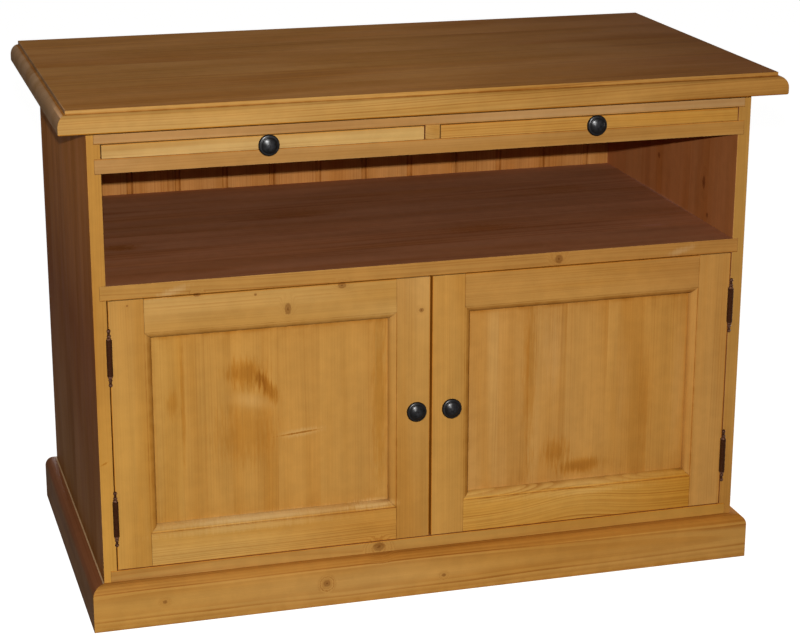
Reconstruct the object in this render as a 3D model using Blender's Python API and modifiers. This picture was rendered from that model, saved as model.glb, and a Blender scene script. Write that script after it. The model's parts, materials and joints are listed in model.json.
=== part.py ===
"""Pine sideboard for a television: a niche over a two-door cupboard, with two slides under the top.

Metres, +Z up. The front faces -Y, and the origin lies on the floor under the middle of the top.
"""

import math

import bmesh
import bpy
from mathutils import Vector

for old in list(bpy.data.objects):
    bpy.data.objects.remove(old, do_unlink=True)

# Top board, moulded on its front and both ends
TOP_WIDTH = 1.060
TOP_DEPTH = 0.562
TOP_THICKNESS = 0.032
TOP_STEP = 0.0055
TOP_OVOLO_WIDTH = 0.0123
TOP_OVOLO_HEIGHT = 0.016
TOP_UNDER_ROUND = 0.003
SIDE_OVERHANG = 0.0415
FRONT_OVERHANG = 0.036

# Carcass boards, and the clear heights between them from the floor up
SIDE_THICKNESS = 0.019
BOARD_THICKNESS = 0.0206
SUB_TOP_THICKNESS = 0.0211
FLOOR_HEIGHT = 0.0847
CUPBOARD_HEIGHT = 0.4057
NICHE_HEIGHT = 0.159
SLOT_HEIGHT = 0.021
HOUSING_DEPTH = 0.009
CUPBOARD_SHELF_HEIGHT = 0.196
CUPBOARD_SHELF_THICKNESS = 0.019
CUPBOARD_SHELF_SETBACK = 0.036

# Matchboarded back, in a rebate of the sides
BACK_THICKNESS = 0.0135
BACK_REBATE = 0.0105
BACK_PITCH = 0.0782
BACK_JOINT_OFFSET = -0.0444
BACK_BEAD_WIDTH = 0.008
BACK_BEAD_DEPTH = 0.0026
BACK_QUIRK = 0.0016
BACK_NARROWEST = 0.018
TONGUE_THICKNESS = 0.0042
TONGUE_LENGTH = 0.006

# Plinth moulding
PLINTH_HEIGHT = 0.068
PLINTH_THICKNESS = 0.0195
PLINTH_FLAT = 0.007
PLINTH_OVOLO_HEIGHT = 0.014

# Inset doors: framed, with the moulding worked on the frame
DOOR_THICKNESS = 0.022
DOOR_GAP = 0.0015
MEETING_GAP = 0.0035
STILE_FLAT = 0.050
RAIL_FLAT = 0.050
STICKING_WIDTH = 0.0105
STICKING_STEP = 0.002
PANEL_THICKNESS = 0.006
PANEL_PLAY = 0.0008
PANEL_GROOVE_DEPTH = 0.008
DOOR_BACK_LIP = 0.003
TENON_LENGTH = 0.026
TENON_THICKNESS = 0.007
TENON_SHOULDER = 0.009
TENON_SETBACK = 0.005

# Butt hinges with finials
HINGE_LENGTH = 0.053
HINGE_INSET = 0.0805
KNUCKLES = 5
BARREL_RADIUS = 0.0042
BARREL_CLEARANCE = 0.0006
KNUCKLE_GAP = 0.0004
PIN_RADIUS = 0.0021
PIN_CLEARANCE = 0.0002
LEAF_THICKNESS = 0.0014
LEAF_WIDTH = 0.0165
FINIAL_LENGTH = 0.0158
FINIAL_RADIUS = 0.0034

# Turned knobs
KNOB_RADIUS = 0.015
KNOB_LENGTH = 0.0265
KNOB_DOME_RADIUS = 0.0108
KNOB_DOME_ANGLE = math.radians(43)
KNOB_FOOT_RADIUS = 0.007
KNOB_RISE = 0.0035

# Pull-out slides
DIVIDER_WIDTH = 0.021
SLIDE_SIDE_GAP = 0.0015
SLIDE_DIVIDER_GAP = 0.002
SLIDE_TOP_GAP = 0.0014
SLIDE_REAR_SPACE = 0.0725
SLIDE_HOLD = 0.160
STOP_RADIUS = 0.005
STOP_DROP = 0.006
STOP_DEPTH = 0.012
STOP_INSET = 0.030
STOP_PLAY = 0.001

# Door catch
CATCH_WIDTH = 0.046
CATCH_DEPTH = 0.014
CATCH_HEIGHT = 0.015
STRIKE_WIDTH = 0.016
STRIKE_HEIGHT = 0.011
STRIKE_THICKNESS = 0.0012
STRIKE_INSET = 0.004

# Clearance between pieces that seat on each other
SEAT = 0.0003
OVERCUT = 0.002

# Places that follow from the sizes above
CARCASS_HALF = TOP_WIDTH / 2 - SIDE_OVERHANG
INNER_HALF = CARCASS_HALF - SIDE_THICKNESS
BACK_Y = TOP_DEPTH / 2
TOP_FRONT_Y = -TOP_DEPTH / 2
FRONT_Y = TOP_FRONT_Y + FRONT_OVERHANG
BACK_FACE_Y = BACK_Y - BACK_THICKNESS
BOARD_REAR_Y = BACK_FACE_Y - SEAT
NICHE_SHELF_Z = FLOOR_HEIGHT + CUPBOARD_HEIGHT
NICHE_FLOOR_Z = NICHE_SHELF_Z + BOARD_THICKNESS
DECK_Z = NICHE_FLOOR_Z + NICHE_HEIGHT
SLOT_Z = DECK_Z + BOARD_THICKNESS
SUB_TOP_Z = SLOT_Z + SLOT_HEIGHT
CARCASS_TOP_Z = SUB_TOP_Z + SUB_TOP_THICKNESS
TOP_Z = CARCASS_TOP_Z + SEAT
SHELF_Z = FLOOR_HEIGHT + CUPBOARD_SHELF_HEIGHT
SHELF_FRONT_Y = FRONT_Y + CUPBOARD_SHELF_SETBACK

DOOR_OUTER = INNER_HALF - DOOR_GAP
DOOR_LOW = FLOOR_HEIGHT + DOOR_GAP
DOOR_HIGH = NICHE_SHELF_Z - DOOR_GAP
DOOR_BACK_Y = FRONT_Y + DOOR_THICKNESS
DOOR_MID_Z = (DOOR_LOW + DOOR_HIGH) / 2
PANEL_RECESS = DOOR_THICKNESS - DOOR_BACK_LIP - PANEL_THICKNESS - 2 * SEAT

HINGE_X = INNER_HALF - DOOR_GAP / 2
HINGE_Y = FRONT_Y - BARREL_RADIUS - BARREL_CLEARANCE
HINGE_Z = {"upper": DOOR_HIGH - HINGE_INSET, "lower": DOOR_LOW + HINGE_INSET}

SLIDE_LENGTH = BOARD_REAR_Y - FRONT_Y - SLIDE_REAR_SPACE
SLIDE_TRAVEL = SLIDE_LENGTH - SLIDE_HOLD
SLIDE_LOW = SLOT_Z + SEAT
SLIDE_HIGH = SUB_TOP_Z - SLIDE_TOP_GAP
SLIDE_INNER = DIVIDER_WIDTH / 2 + SLIDE_DIVIDER_GAP
SLIDE_OUTER = INNER_HALF - SLIDE_SIDE_GAP
STOP_Y = FRONT_Y + SLIDE_LENGTH - STOP_INSET

SIDES = {"left": -1, "right": 1}

parts = bpy.data.collections.new("tv_sideboard")
cutters = bpy.data.collections.new("tv_sideboard_cutters")
bpy.context.scene.collection.children.link(parts)
bpy.context.scene.collection.children.link(cutters)


def material(name, colour, roughness, metallic=0.0):
    made = bpy.data.materials.new(name)
    made.use_nodes = True
    shader = made.node_tree.nodes["Principled BSDF"]
    shader.inputs["Base Color"].default_value = (*colour, 1.0)
    shader.inputs["Roughness"].default_value = roughness
    shader.inputs["Metallic"].default_value = metallic
    return made


PINE = material("pine", (0.47, 0.24, 0.06), 0.42)
PINE_TOP = material("pine_top", (0.36, 0.19, 0.06), 0.40)
IRON = material("black_iron", (0.02, 0.019, 0.019), 0.38, 0.8)
BRONZE = material("dark_bronze", (0.03, 0.016, 0.012), 0.36, 0.8)
STEEL = material("steel", (0.55, 0.55, 0.54), 0.32, 1.0)
CATCH = material("catch_plastic", (0.10, 0.05, 0.025), 0.5)


def frame(name, place):
    """An empty that carries one rigid group, at its joint's axis."""
    empty = bpy.data.objects.new(name, None)
    empty.location = place
    empty.empty_display_size = 0.05
    parts.objects.link(empty)
    return empty


def finish(name, bm, group, surface=None, round_angle=None):
    """An object from a bmesh, its origin in the middle of its box. Without a surface it is a cutter."""
    bmesh.ops.recalc_face_normals(bm, faces=bm.faces)
    low = Vector(min(v.co[i] for v in bm.verts) for i in range(3))
    high = Vector(max(v.co[i] for v in bm.verts) for i in range(3))
    centre = (low + high) / 2
    bmesh.ops.translate(bm, verts=bm.verts, vec=-centre)
    mesh = bpy.data.meshes.new(name)
    bm.to_mesh(mesh)
    bm.free()
    if round_angle:
        mesh.shade_smooth()
        mesh.set_sharp_from_angle(angle=math.radians(round_angle))
    made = bpy.data.objects.new(name, mesh)
    made.parent = group
    made.location = centre - group.location
    if surface:
        parts.objects.link(made)
        mesh.materials.append(surface)
    else:
        cutters.objects.link(made)
        made.hide_render = True
        made.display_type = "WIRE"
    return made


def block(name, low, high, group, surface=None):
    """A rectangular board between two corners."""
    bm = bmesh.new()
    low, high = Vector(low), Vector(high)
    bmesh.ops.create_cube(bm, size=1.0)
    bmesh.ops.scale(bm, verts=bm.verts, vec=high - low)
    bmesh.ops.translate(bm, verts=bm.verts, vec=(low + high) / 2)
    return finish(name, bm, group, surface)


def rod(name, foot, length, radius, group, surface=None, sides=16):
    """A round bar that stands on its foot."""
    bm = bmesh.new()
    bmesh.ops.create_cone(
        bm,
        cap_ends=True,
        segments=sides,
        radius1=radius,
        radius2=radius,
        depth=length,
    )
    bmesh.ops.translate(bm, verts=bm.verts, vec=(0, 0, length / 2))
    bmesh.ops.translate(bm, verts=bm.verts, vec=foot)
    return finish(name, bm, group, surface, 40)


def extrusion(name, outline, place, start, stop, group, surface=None, mitre=None, fold=None):
    """An outline drawn through `place(u, v, along)` and extruded from start to stop.

    Mitre gives how far a point of the outline draws in at both ends, and fold the two points
    between which an end changes from square to mitred.
    """
    bm = bmesh.new()
    draw_in = mitre or (lambda u, v: (0.0, 0.0))
    near = [bm.verts.new(place(u, v, start + draw_in(u, v)[0])) for u, v in outline]
    bm.faces.new(near)
    if fold:
        bmesh.utils.face_split(bm.faces[:][0], near[fold[0]], near[fold[1]])
    pushed = bmesh.ops.extrude_face_region(bm, geom=bm.faces[:])["geom"]
    far = [item for item in pushed if isinstance(item, bmesh.types.BMVert)]
    ends = {
        tuple(vert.co): place(u, v, stop - draw_in(u, v)[1]) for vert, (u, v) in zip(near, outline)
    }
    for vert in far:
        vert.co = ends[tuple(vert.co)]
    return finish(name, bm, group, surface)


def turned(name, profile, foot, group, surface, steps, towards="Z"):
    """A profile of (radius, height) points from the top down, turned about its axis."""
    mesh = bpy.data.meshes.new(name)
    points = [(radius, 0.0, height) for radius, height in profile]
    mesh.from_pydata(points, [(i, i + 1) for i in range(len(points) - 1)], [])
    mesh.materials.append(surface)
    made = bpy.data.objects.new(name, mesh)
    parts.objects.link(made)
    made.parent = group
    made.location = Vector(foot) - group.location
    if towards == "-Y":
        made.rotation_euler = (math.pi / 2, 0.0, 0.0)
    screw = made.modifiers.new("turn", "SCREW")
    screw.axis = "Z"
    screw.steps = screw.render_steps = steps
    screw.use_merge_vertices = True
    screw.merge_threshold = 0.00002
    screw.use_smooth_shade = True
    return made


def boolean(piece, tool, operation):
    change = piece.modifiers.new(tool.name, "BOOLEAN")
    change.object = tool
    change.operation = operation
    change.solver = "EXACT"


def cut(piece, label, low, high):
    """Takes a rectangular recess out of a piece."""
    boolean(piece, block(f"{piece.name}_{label}", low, high, piece.parent), "DIFFERENCE")


def mirrored(side, low, high):
    """The corners of a box given for the right-hand side, on either side."""
    xs = sorted((side * low[0], side * high[0]))
    return (xs[0], *low[1:]), (xs[1], *high[1:])


def quarter(width, height, steps):
    """A convex quarter of an ellipse, from its crown outwards and down."""
    turns = [math.pi / 2 * i / steps for i in range(steps + 1)]
    return [(width * math.sin(a), -height * (1 - math.cos(a))) for a in turns]


carcass = frame("carcass", (0.0, 0.0, 0.0))


def top_board():
    """The top, lofted through one outline per height of its edge moulding. Its back edge is square."""
    under = quarter(TOP_UNDER_ROUND, TOP_UNDER_ROUND, 3)
    edge = [(TOP_UNDER_ROUND - out, -rise) for out, rise in under]
    crown = TOP_THICKNESS - TOP_STEP
    ovolo = quarter(TOP_OVOLO_WIDTH, TOP_OVOLO_HEIGHT, 7)
    edge += [(TOP_OVOLO_WIDTH - out, crown + drop) for out, drop in reversed(ovolo)]
    edge.append((TOP_OVOLO_WIDTH, TOP_THICKNESS))
    bm = bmesh.new()
    rings = []
    for inset, height in edge:
        half = TOP_WIDTH / 2 - inset
        front = TOP_FRONT_Y + inset
        corners = [(-half, front), (half, front), (half, BACK_Y), (-half, BACK_Y)]
        rings.append([bm.verts.new((x, y, TOP_Z + height)) for x, y in corners])
    for lower, upper in zip(rings, rings[1:]):
        for i in range(4):
            j = (i + 1) % 4
            bm.faces.new((lower[i], lower[j], upper[j], upper[i]))
    bm.faces.new(rings[0])
    bm.faces.new(rings[-1])
    return finish("top_panel", bm, carcass, PINE_TOP)


def housed_board(name, low_z, high_z, front=FRONT_Y):
    """A cross board whose ends sit in the housings of the sides."""
    reach = INNER_HALF + HOUSING_DEPTH - SEAT
    return block(name, (-reach, front, low_z), (reach, BOARD_REAR_Y, high_z), carcass, PINE)


HOUSED = {
    "cupboard_floor": (FLOOR_HEIGHT - BOARD_THICKNESS, FLOOR_HEIGHT, FRONT_Y),
    "cupboard_shelf": (SHELF_Z - CUPBOARD_SHELF_THICKNESS, SHELF_Z, SHELF_FRONT_Y),
    "niche_shelf": (NICHE_SHELF_Z, NICHE_FLOOR_Z, FRONT_Y),
    "slide_deck": (DECK_Z, SLOT_Z, FRONT_Y),
    "sub_top": (SUB_TOP_Z, CARCASS_TOP_Z, FRONT_Y),
}


def side_board(label, side):
    """A side with its housings, the rebate for the back and the recesses of the hinge leaves."""
    low, high = mirrored(side, (INNER_HALF, FRONT_Y, 0.0), (CARCASS_HALF, BACK_Y, CARCASS_TOP_Z))
    board = block(f"side_panel_{label}", low, high, carcass, PINE)
    for name, (low_z, high_z, front) in HOUSED.items():
        start = front - (OVERCUT if front == FRONT_Y else SEAT)
        top = high_z + (OVERCUT if name == "sub_top" else SEAT)
        housing = (
            (INNER_HALF - OVERCUT, start, low_z - SEAT),
            (INNER_HALF + HOUSING_DEPTH, BACK_Y + OVERCUT, top),
        )
        cut(board, f"{name}_housing", *mirrored(side, *housing))
    rebate = (
        (INNER_HALF - OVERCUT, BOARD_REAR_Y, -OVERCUT),
        (INNER_HALF + BACK_REBATE, BACK_Y + OVERCUT, TOP_Z + OVERCUT),
    )
    cut(board, "back_rebate", *mirrored(side, *rebate))
    for height, z in HINGE_Z.items():
        half = HINGE_LENGTH / 2 + SEAT
        recess = (
            (INNER_HALF - OVERCUT, FRONT_Y - OVERCUT, z - half),
            (INNER_HALF + LEAF_THICKNESS + SEAT, FRONT_Y + LEAF_WIDTH + SEAT, z + half),
        )
        cut(board, f"{height}_hinge_recess", *mirrored(side, *recess))


def back_boards():
    """Tongued and grooved boards with a bead beside each joint. The outer two take what is left."""
    half = INNER_HALF + BACK_REBATE - SEAT
    first = math.ceil((-half + BACK_NARROWEST - BACK_JOINT_OFFSET) / BACK_PITCH)
    last = math.floor((half - BACK_NARROWEST - BACK_JOINT_OFFSET) / BACK_PITCH)
    joints = [BACK_JOINT_OFFSET + i * BACK_PITCH for i in range(first, last + 1)]
    edges = [-half] + joints + [half]
    mid = (BACK_FACE_Y + BACK_BEAD_DEPTH + BACK_Y) / 2
    tongue = (mid - TONGUE_THICKNESS / 2, mid + TONGUE_THICKNESS / 2)
    for number, (left, right) in enumerate(zip(edges, edges[1:])):
        left += SEAT / 2 if number else 0.0
        right -= SEAT / 2 if number < len(joints) else 0.0
        outline = []
        if number:
            for i in range(9):
                turn = math.pi * i / 8
                out = BACK_BEAD_WIDTH / 2 * (1 - math.cos(turn))
                outline.append((left + out, BACK_FACE_Y + BACK_BEAD_DEPTH * (1 - math.sin(turn))))
            outline.append((left + BACK_BEAD_WIDTH + BACK_QUIRK, BACK_FACE_Y))
        else:
            outline.append((left, BACK_FACE_Y))
        outline.append((right, BACK_FACE_Y))
        if number < len(joints):
            outline += [(right, tongue[0]), (right + TONGUE_LENGTH, tongue[0])]
            outline += [(right + TONGUE_LENGTH, tongue[1]), (right, tongue[1])]
        outline += [(right, BACK_Y), (left, BACK_Y)]
        if number:
            depth = TONGUE_LENGTH + SEAT
            outline += [(left, tongue[1] + SEAT), (left + depth, tongue[1] + SEAT)]
            outline += [(left + depth, tongue[0] - SEAT), (left, tongue[0] - SEAT)]
        low_z = FLOOR_HEIGHT - BOARD_THICKNESS
        name = f"back_board_{number + 1:02d}"
        extrusion(name, outline, lambda u, v, z: (u, v, z), low_z, CARCASS_TOP_Z, carcass, PINE)


def plinth():
    """Three lengths of moulding planted round the foot of the carcass, mitred at the front corners."""
    ovolo = quarter(PLINTH_THICKNESS - PLINTH_FLAT, PLINTH_OVOLO_HEIGHT, 6)
    outline = [(SEAT, 0.0), (SEAT, PLINTH_HEIGHT)]
    outline += [(PLINTH_FLAT + out, PLINTH_HEIGHT + drop) for out, drop in ovolo]
    outline.append((PLINTH_THICKNESS, 0.0))
    extrusion(
        "plinth_front",
        outline,
        lambda out, z, x: (x, FRONT_Y - out, z),
        -CARCASS_HALF + SEAT,
        CARCASS_HALF - SEAT,
        carcass,
        PINE,
        lambda out, z: (-out, -out),
    )
    for label, side in SIDES.items():
        extrusion(
            f"plinth_{label}",
            outline,
            lambda out, z, y, side=side: (side * (CARCASS_HALF + out), y, z),
            FRONT_Y,
            BACK_Y,
            carcass,
            PINE,
            lambda out, z: (-out, 0.0),
        )


def deck_and_divider():
    """The boards round the slot of the slides, with the groove of each stop peg in the deck."""
    deck = housed_board("slide_deck", DECK_Z, SLOT_Z)
    for label, side in SIDES.items():
        middle = side * (SLIDE_INNER + SLIDE_OUTER) / 2
        half = STOP_RADIUS + STOP_PLAY
        low = (middle - half, STOP_Y - SLIDE_TRAVEL - half, SLOT_Z - STOP_DROP - STOP_PLAY)
        high = (middle + half, STOP_Y + half, SLOT_Z + OVERCUT)
        cut(deck, f"{label}_stop_groove", low, high)
    half = DIVIDER_WIDTH / 2
    low, high = (-half, FRONT_Y, SLOT_Z + SEAT), (half, BOARD_REAR_Y, SUB_TOP_Z - SEAT)
    block("slide_divider", low, high, carcass, PINE)


def knob(name, x, face_y, z, group):
    """A mushroom knob: a small foot, a waist, a rolled rim and a low dome that stands over it."""
    r, h = KNOB_RADIUS, KNOB_LENGTH
    turns = [KNOB_DOME_ANGLE * i / 6 for i in range(7)]
    dome_radius = KNOB_DOME_RADIUS / math.sin(KNOB_DOME_ANGLE)
    dome = [(dome_radius * math.sin(a), h - dome_radius * (1 - math.cos(a))) for a in turns]
    rim = [(0.735 * r, 0.805), (0.87 * r, 0.80), (0.955 * r, 0.765), (r, 0.69), (0.95 * r, 0.59)]
    waist = [(0.72 * r, 0.485), (0.45 * r, 0.37), (0.37 * r, 0.23), (0.39 * r, 0.11)]
    body = [(radius, share * h) for radius, share in rim + waist]
    foot = [(KNOB_FOOT_RADIUS, 0.065 * h), (KNOB_FOOT_RADIUS, 0.0), (0.0, 0.0)]
    turned(name, dome + body + foot, (x, face_y - SEAT, z), group, IRON, 24, "-Y")


def sticking():
    """The moulded inner edge of a door frame, as (out from the flat, back from the face)."""
    rise = PANEL_RECESS - STICKING_STEP
    edge = [(out, STICKING_STEP - drop) for out, drop in quarter(STICKING_WIDTH, rise, 6)]
    groove = STICKING_WIDTH - PANEL_GROOVE_DEPTH
    lip = DOOR_THICKNESS - DOOR_BACK_LIP
    edge += [(groove, PANEL_RECESS), (groove, lip)]
    edge += [(STICKING_WIDTH, lip), (STICKING_WIDTH, DOOR_THICKNESS)]
    return edge


def tenon_box(inner, outer, rail_edge, towards):
    """The corners of a tenon between two x places. Towards leads from the rail's outer edge inwards."""
    zs = sorted(rail_edge + towards * away for away in (TENON_SHOULDER, RAIL_FLAT - TENON_SETBACK))
    y = FRONT_Y + PANEL_RECESS / 2
    half = TENON_THICKNESS / 2
    xs = sorted((inner, outer))
    return [xs[0], y - half, zs[0]], [xs[1], y + half, zs[1]]


def door(label, side):
    """An inset door: two stiles, two tenoned rails with their sticking mitred, a panel and fittings."""
    group = frame(f"door_{label}", (side * HINGE_X, HINGE_Y, 0.0))
    outer, meeting = side * DOOR_OUTER, side * MEETING_GAP / 2
    edge = sticking()
    flats = {}
    rails = {"top": (DOOR_HIGH, -1), "bottom": (DOOR_LOW, 1)}
    for kind, x, inward in (("hinge", outer, -side), ("meeting", meeting, side)):
        flat = x + inward * STILE_FLAT
        flats[kind] = flat
        low, high = (min(x, flat), FRONT_Y, DOOR_LOW), (max(x, flat), DOOR_BACK_Y, DOOR_HIGH)
        stile = block(f"door_{label}_{kind}_stile", low, high, group, PINE)
        root = -STILE_FLAT / 5
        moulding = extrusion(
            f"{stile.name}_sticking",
            [(root, STICKING_STEP)] + edge + [(root, DOOR_THICKNESS)],
            lambda out, back, z, flat=flat, inward=inward: (flat + inward * out, FRONT_Y + back, z),
            DOOR_LOW + RAIL_FLAT + SEAT,
            DOOR_HIGH - RAIL_FLAT - SEAT,
            group,
            mitre=lambda out, back: (out, out),
        )
        boolean(stile, moulding, "UNION")
        for rail, (rail_edge, towards) in rails.items():
            near, far = flat + inward * OVERCUT, flat - inward * (TENON_LENGTH + SEAT)
            low, high = tenon_box(near, far, rail_edge, towards)
            low = [low[0], low[1] - SEAT, low[2] - SEAT]
            high = [high[0], high[1] + SEAT, high[2] + SEAT]
            cut(stile, f"{rail}_mortise", low, high)
        if kind == "hinge":
            for height, z in HINGE_Z.items():
                half = HINGE_LENGTH / 2 + SEAT
                recess = (
                    (DOOR_OUTER - LEAF_THICKNESS - SEAT, FRONT_Y - OVERCUT, z - half),
                    (DOOR_OUTER + OVERCUT, FRONT_Y + LEAF_WIDTH + SEAT, z + half),
                )
                cut(stile, f"{height}_hinge_recess", *mirrored(side, *recess))
    start, stop = sorted(flats.values())
    for rail, (rail_edge, towards) in rails.items():
        outline = [(-RAIL_FLAT, 0.0), (0.0, 0.0)] + edge
        outline += [(0.0, DOOR_THICKNESS), (-RAIL_FLAT, DOOR_THICKNESS)]
        piece = extrusion(
            f"door_{label}_{rail}_rail",
            outline,
            lambda out, back, x, e=rail_edge, t=towards: (x, FRONT_Y + back, e + t * (RAIL_FLAT + out)),
            start + SEAT,
            stop - SEAT,
            group,
            PINE,
            lambda out, back: (max(out, 0.0), max(out, 0.0)),
            (2, len(outline) - 2),
        )
        for end, x, inward in (("low", start, 1), ("high", stop, -1)):
            near, far = x + inward * STICKING_WIDTH, x - inward * TENON_LENGTH
            low, high = tenon_box(near, far, rail_edge, towards)
            boolean(piece, block(f"{piece.name}_{end}_tenon", low, high, group), "UNION")
    reach = STICKING_WIDTH - PANEL_GROOVE_DEPTH + PANEL_PLAY
    panel_y = FRONT_Y + PANEL_RECESS + SEAT
    low = (start + reach, panel_y, DOOR_LOW + RAIL_FLAT + reach)
    high = (stop - reach, panel_y + PANEL_THICKNESS, DOOR_HIGH - RAIL_FLAT - reach)
    block(f"door_{label}_panel", low, high, group, PINE)
    knob(f"door_{label}_knob", meeting + side * STILE_FLAT / 2, FRONT_Y, DOOR_MID_Z + KNOB_RISE, group)
    strike_z = NICHE_SHELF_Z - SEAT - CATCH_HEIGHT / 2
    low = (MEETING_GAP / 2 + STRIKE_INSET, DOOR_BACK_Y + SEAT, strike_z - STRIKE_HEIGHT / 2)
    high = (low[0] + STRIKE_WIDTH, low[1] + STRIKE_THICKNESS, strike_z + STRIKE_HEIGHT / 2)
    block(f"door_{label}_strike", *mirrored(side, low, high), group, STEEL)
    for height, z in HINGE_Z.items():
        hinge(label, height, side, z, group)


def finial():
    """A pin's outline above the barrel, from the tip down: a ball, two beads and a collar."""
    r, h = FINIAL_RADIUS, FINIAL_LENGTH
    turns = [math.pi / 6 * i for i in range(6)]
    ball = [(0.85 * r * math.sin(a), 0.82 + 0.18 * math.cos(a)) for a in turns]
    beads = [(0.62 * r, 0.60), (0.62 * r, 0.54), (0.45 * r, 0.48), (0.85 * r, 0.40), (0.85 * r, 0.30)]
    collar = [(0.60 * r, 0.22), (r, 0.15), (r, 0.0)]
    return [(radius, share * h) for radius, share in ball + beads + collar] + [(PIN_RADIUS, 0.0)]


def hinge(label, height, side, z, door_group):
    """A butt hinge: a frame leaf with the odd knuckles, a door leaf with the even ones, a loose pin."""
    foot = z - HINGE_LENGTH / 2
    pitch = HINGE_LENGTH / KNUCKLES
    centre = (side * HINGE_X, HINGE_Y)
    for kind, group, face, outward, first in (
        ("frame", carcass, side * INNER_HALF, side, 0),
        ("door", door_group, side * DOOR_OUTER, -side, 1),
    ):
        spans = [(foot + i * pitch, foot + (i + 1) * pitch) for i in range(first, KNUCKLES, 2)]
        outline = [(FRONT_Y + LEAF_WIDTH, foot), (FRONT_Y, foot)]
        for low, high in spans:
            low, high = low + KNUCKLE_GAP / 2, high - KNUCKLE_GAP / 2
            outline += [(FRONT_Y, low), (HINGE_Y, low), (HINGE_Y, high), (FRONT_Y, high)]
        outline += [(FRONT_Y, foot + HINGE_LENGTH), (FRONT_Y + LEAF_WIDTH, foot + HINGE_LENGTH)]
        leaf = extrusion(
            f"hinge_{kind}_leaf_{label}_{height}",
            outline,
            lambda y, up, x: (x, y, up),
            face,
            face + outward * LEAF_THICKNESS,
            group,
            BRONZE,
        )
        for number, (low, high) in enumerate(spans):
            low, high = low + KNUCKLE_GAP / 2, high - KNUCKLE_GAP / 2
            name = f"{leaf.name}_knuckle_{number}"
            knuckle = rod(name, (*centre, low), high - low, BARREL_RADIUS, group)
            boolean(leaf, knuckle, "UNION")
        bore = rod(
            f"{leaf.name}_bore",
            (*centre, foot - OVERCUT),
            HINGE_LENGTH + 2 * OVERCUT,
            PIN_RADIUS + PIN_CLEARANCE,
            group,
        )
        boolean(leaf, bore, "DIFFERENCE")
    upper = [(r, h + HINGE_LENGTH + 2 * SEAT) for r, h in finial()]
    lower = [(r, -h) for r, h in reversed(finial())]
    turned(f"hinge_pin_{label}_{height}", upper + lower, (*centre, foot - SEAT), carcass, BRONZE, 14)


def slide(label, side):
    """A pull-out slide: a board with its knob, and a peg under its rear that runs in the deck."""
    middle = side * (SLIDE_INNER + SLIDE_OUTER) / 2
    group = frame(f"slide_{label}", (middle, FRONT_Y, (SLIDE_LOW + SLIDE_HIGH) / 2))
    low, high = (SLIDE_INNER, FRONT_Y, SLIDE_LOW), (SLIDE_OUTER, FRONT_Y + SLIDE_LENGTH, SLIDE_HIGH)
    board = block(f"slide_{label}_board", *mirrored(side, low, high), group, PINE)
    mouth = (middle, STOP_Y, SLIDE_LOW - OVERCUT)
    depth = STOP_DEPTH + SEAT + OVERCUT
    hole = rod(f"{board.name}_hole", mouth, depth, STOP_RADIUS + SEAT, group)
    boolean(board, hole, "DIFFERENCE")
    foot = (middle, STOP_Y, SLOT_Z - STOP_DROP)
    rod(f"slide_{label}_stop", foot, SLIDE_LOW + STOP_DEPTH - SEAT - foot[2], STOP_RADIUS, group, PINE)
    knob(f"slide_{label}_knob", middle, FRONT_Y, (SLIDE_LOW + SLIDE_HIGH) / 2, group)


top_board()
for board_name, (board_low, board_high, board_front) in HOUSED.items():
    if board_name != "slide_deck":
        housed_board(board_name, board_low, board_high, board_front)
for side_label, side_sign in SIDES.items():
    side_board(side_label, side_sign)
deck_and_divider()
back_boards()
plinth()
catch_y = DOOR_BACK_Y + 2 * SEAT + STRIKE_THICKNESS
catch_low = (-CATCH_WIDTH / 2, catch_y, NICHE_SHELF_Z - SEAT - CATCH_HEIGHT)
catch_high = (CATCH_WIDTH / 2, catch_y + CATCH_DEPTH, NICHE_SHELF_Z - SEAT)
block("door_catch", catch_low, catch_high, carcass, CATCH)
for side_label, side_sign in SIDES.items():
    door(side_label, side_sign)
    slide(side_label, side_sign)
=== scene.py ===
"""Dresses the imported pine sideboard: waxed boards, turned knobs, finial hinges and a plain studio."""

import bisect
import json
import math
import random
from functools import partial

import bmesh
import bpy
from bpy.props import FloatProperty, FloatVectorProperty, IntProperty, PointerProperty
from bpy.types import Operator, Panel, PropertyGroup
from mathutils import Matrix, Vector

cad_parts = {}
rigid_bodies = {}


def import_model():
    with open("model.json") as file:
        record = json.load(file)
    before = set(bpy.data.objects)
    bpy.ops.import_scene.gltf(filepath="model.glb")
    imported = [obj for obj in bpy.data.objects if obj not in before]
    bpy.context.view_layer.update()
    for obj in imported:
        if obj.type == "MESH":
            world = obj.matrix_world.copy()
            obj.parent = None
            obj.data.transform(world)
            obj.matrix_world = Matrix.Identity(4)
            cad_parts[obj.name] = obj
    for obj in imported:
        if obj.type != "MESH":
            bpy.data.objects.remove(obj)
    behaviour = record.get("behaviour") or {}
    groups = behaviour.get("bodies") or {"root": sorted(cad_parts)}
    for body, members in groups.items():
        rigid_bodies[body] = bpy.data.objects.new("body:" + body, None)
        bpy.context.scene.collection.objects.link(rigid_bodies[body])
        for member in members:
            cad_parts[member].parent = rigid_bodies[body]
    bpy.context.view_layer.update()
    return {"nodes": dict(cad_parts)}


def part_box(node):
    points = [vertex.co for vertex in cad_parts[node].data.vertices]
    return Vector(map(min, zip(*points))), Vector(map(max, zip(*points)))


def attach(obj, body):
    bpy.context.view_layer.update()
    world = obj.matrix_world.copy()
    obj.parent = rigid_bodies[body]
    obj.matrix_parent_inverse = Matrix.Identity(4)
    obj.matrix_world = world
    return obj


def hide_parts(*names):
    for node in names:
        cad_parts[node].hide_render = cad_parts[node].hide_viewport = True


bl_info = {
    "name": "Pine television sideboard",
    "version": (1, 0, 0),
    "blender": (4, 5, 0),
    "location": "View3D > Sidebar > Sideboard",
    "description": "Dresses a pine sideboard with two doors and two pull-out slides",
    "category": "Object",
}

for old in list(bpy.data.objects):
    bpy.data.objects.remove(old, do_unlink=True)
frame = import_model()

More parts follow.
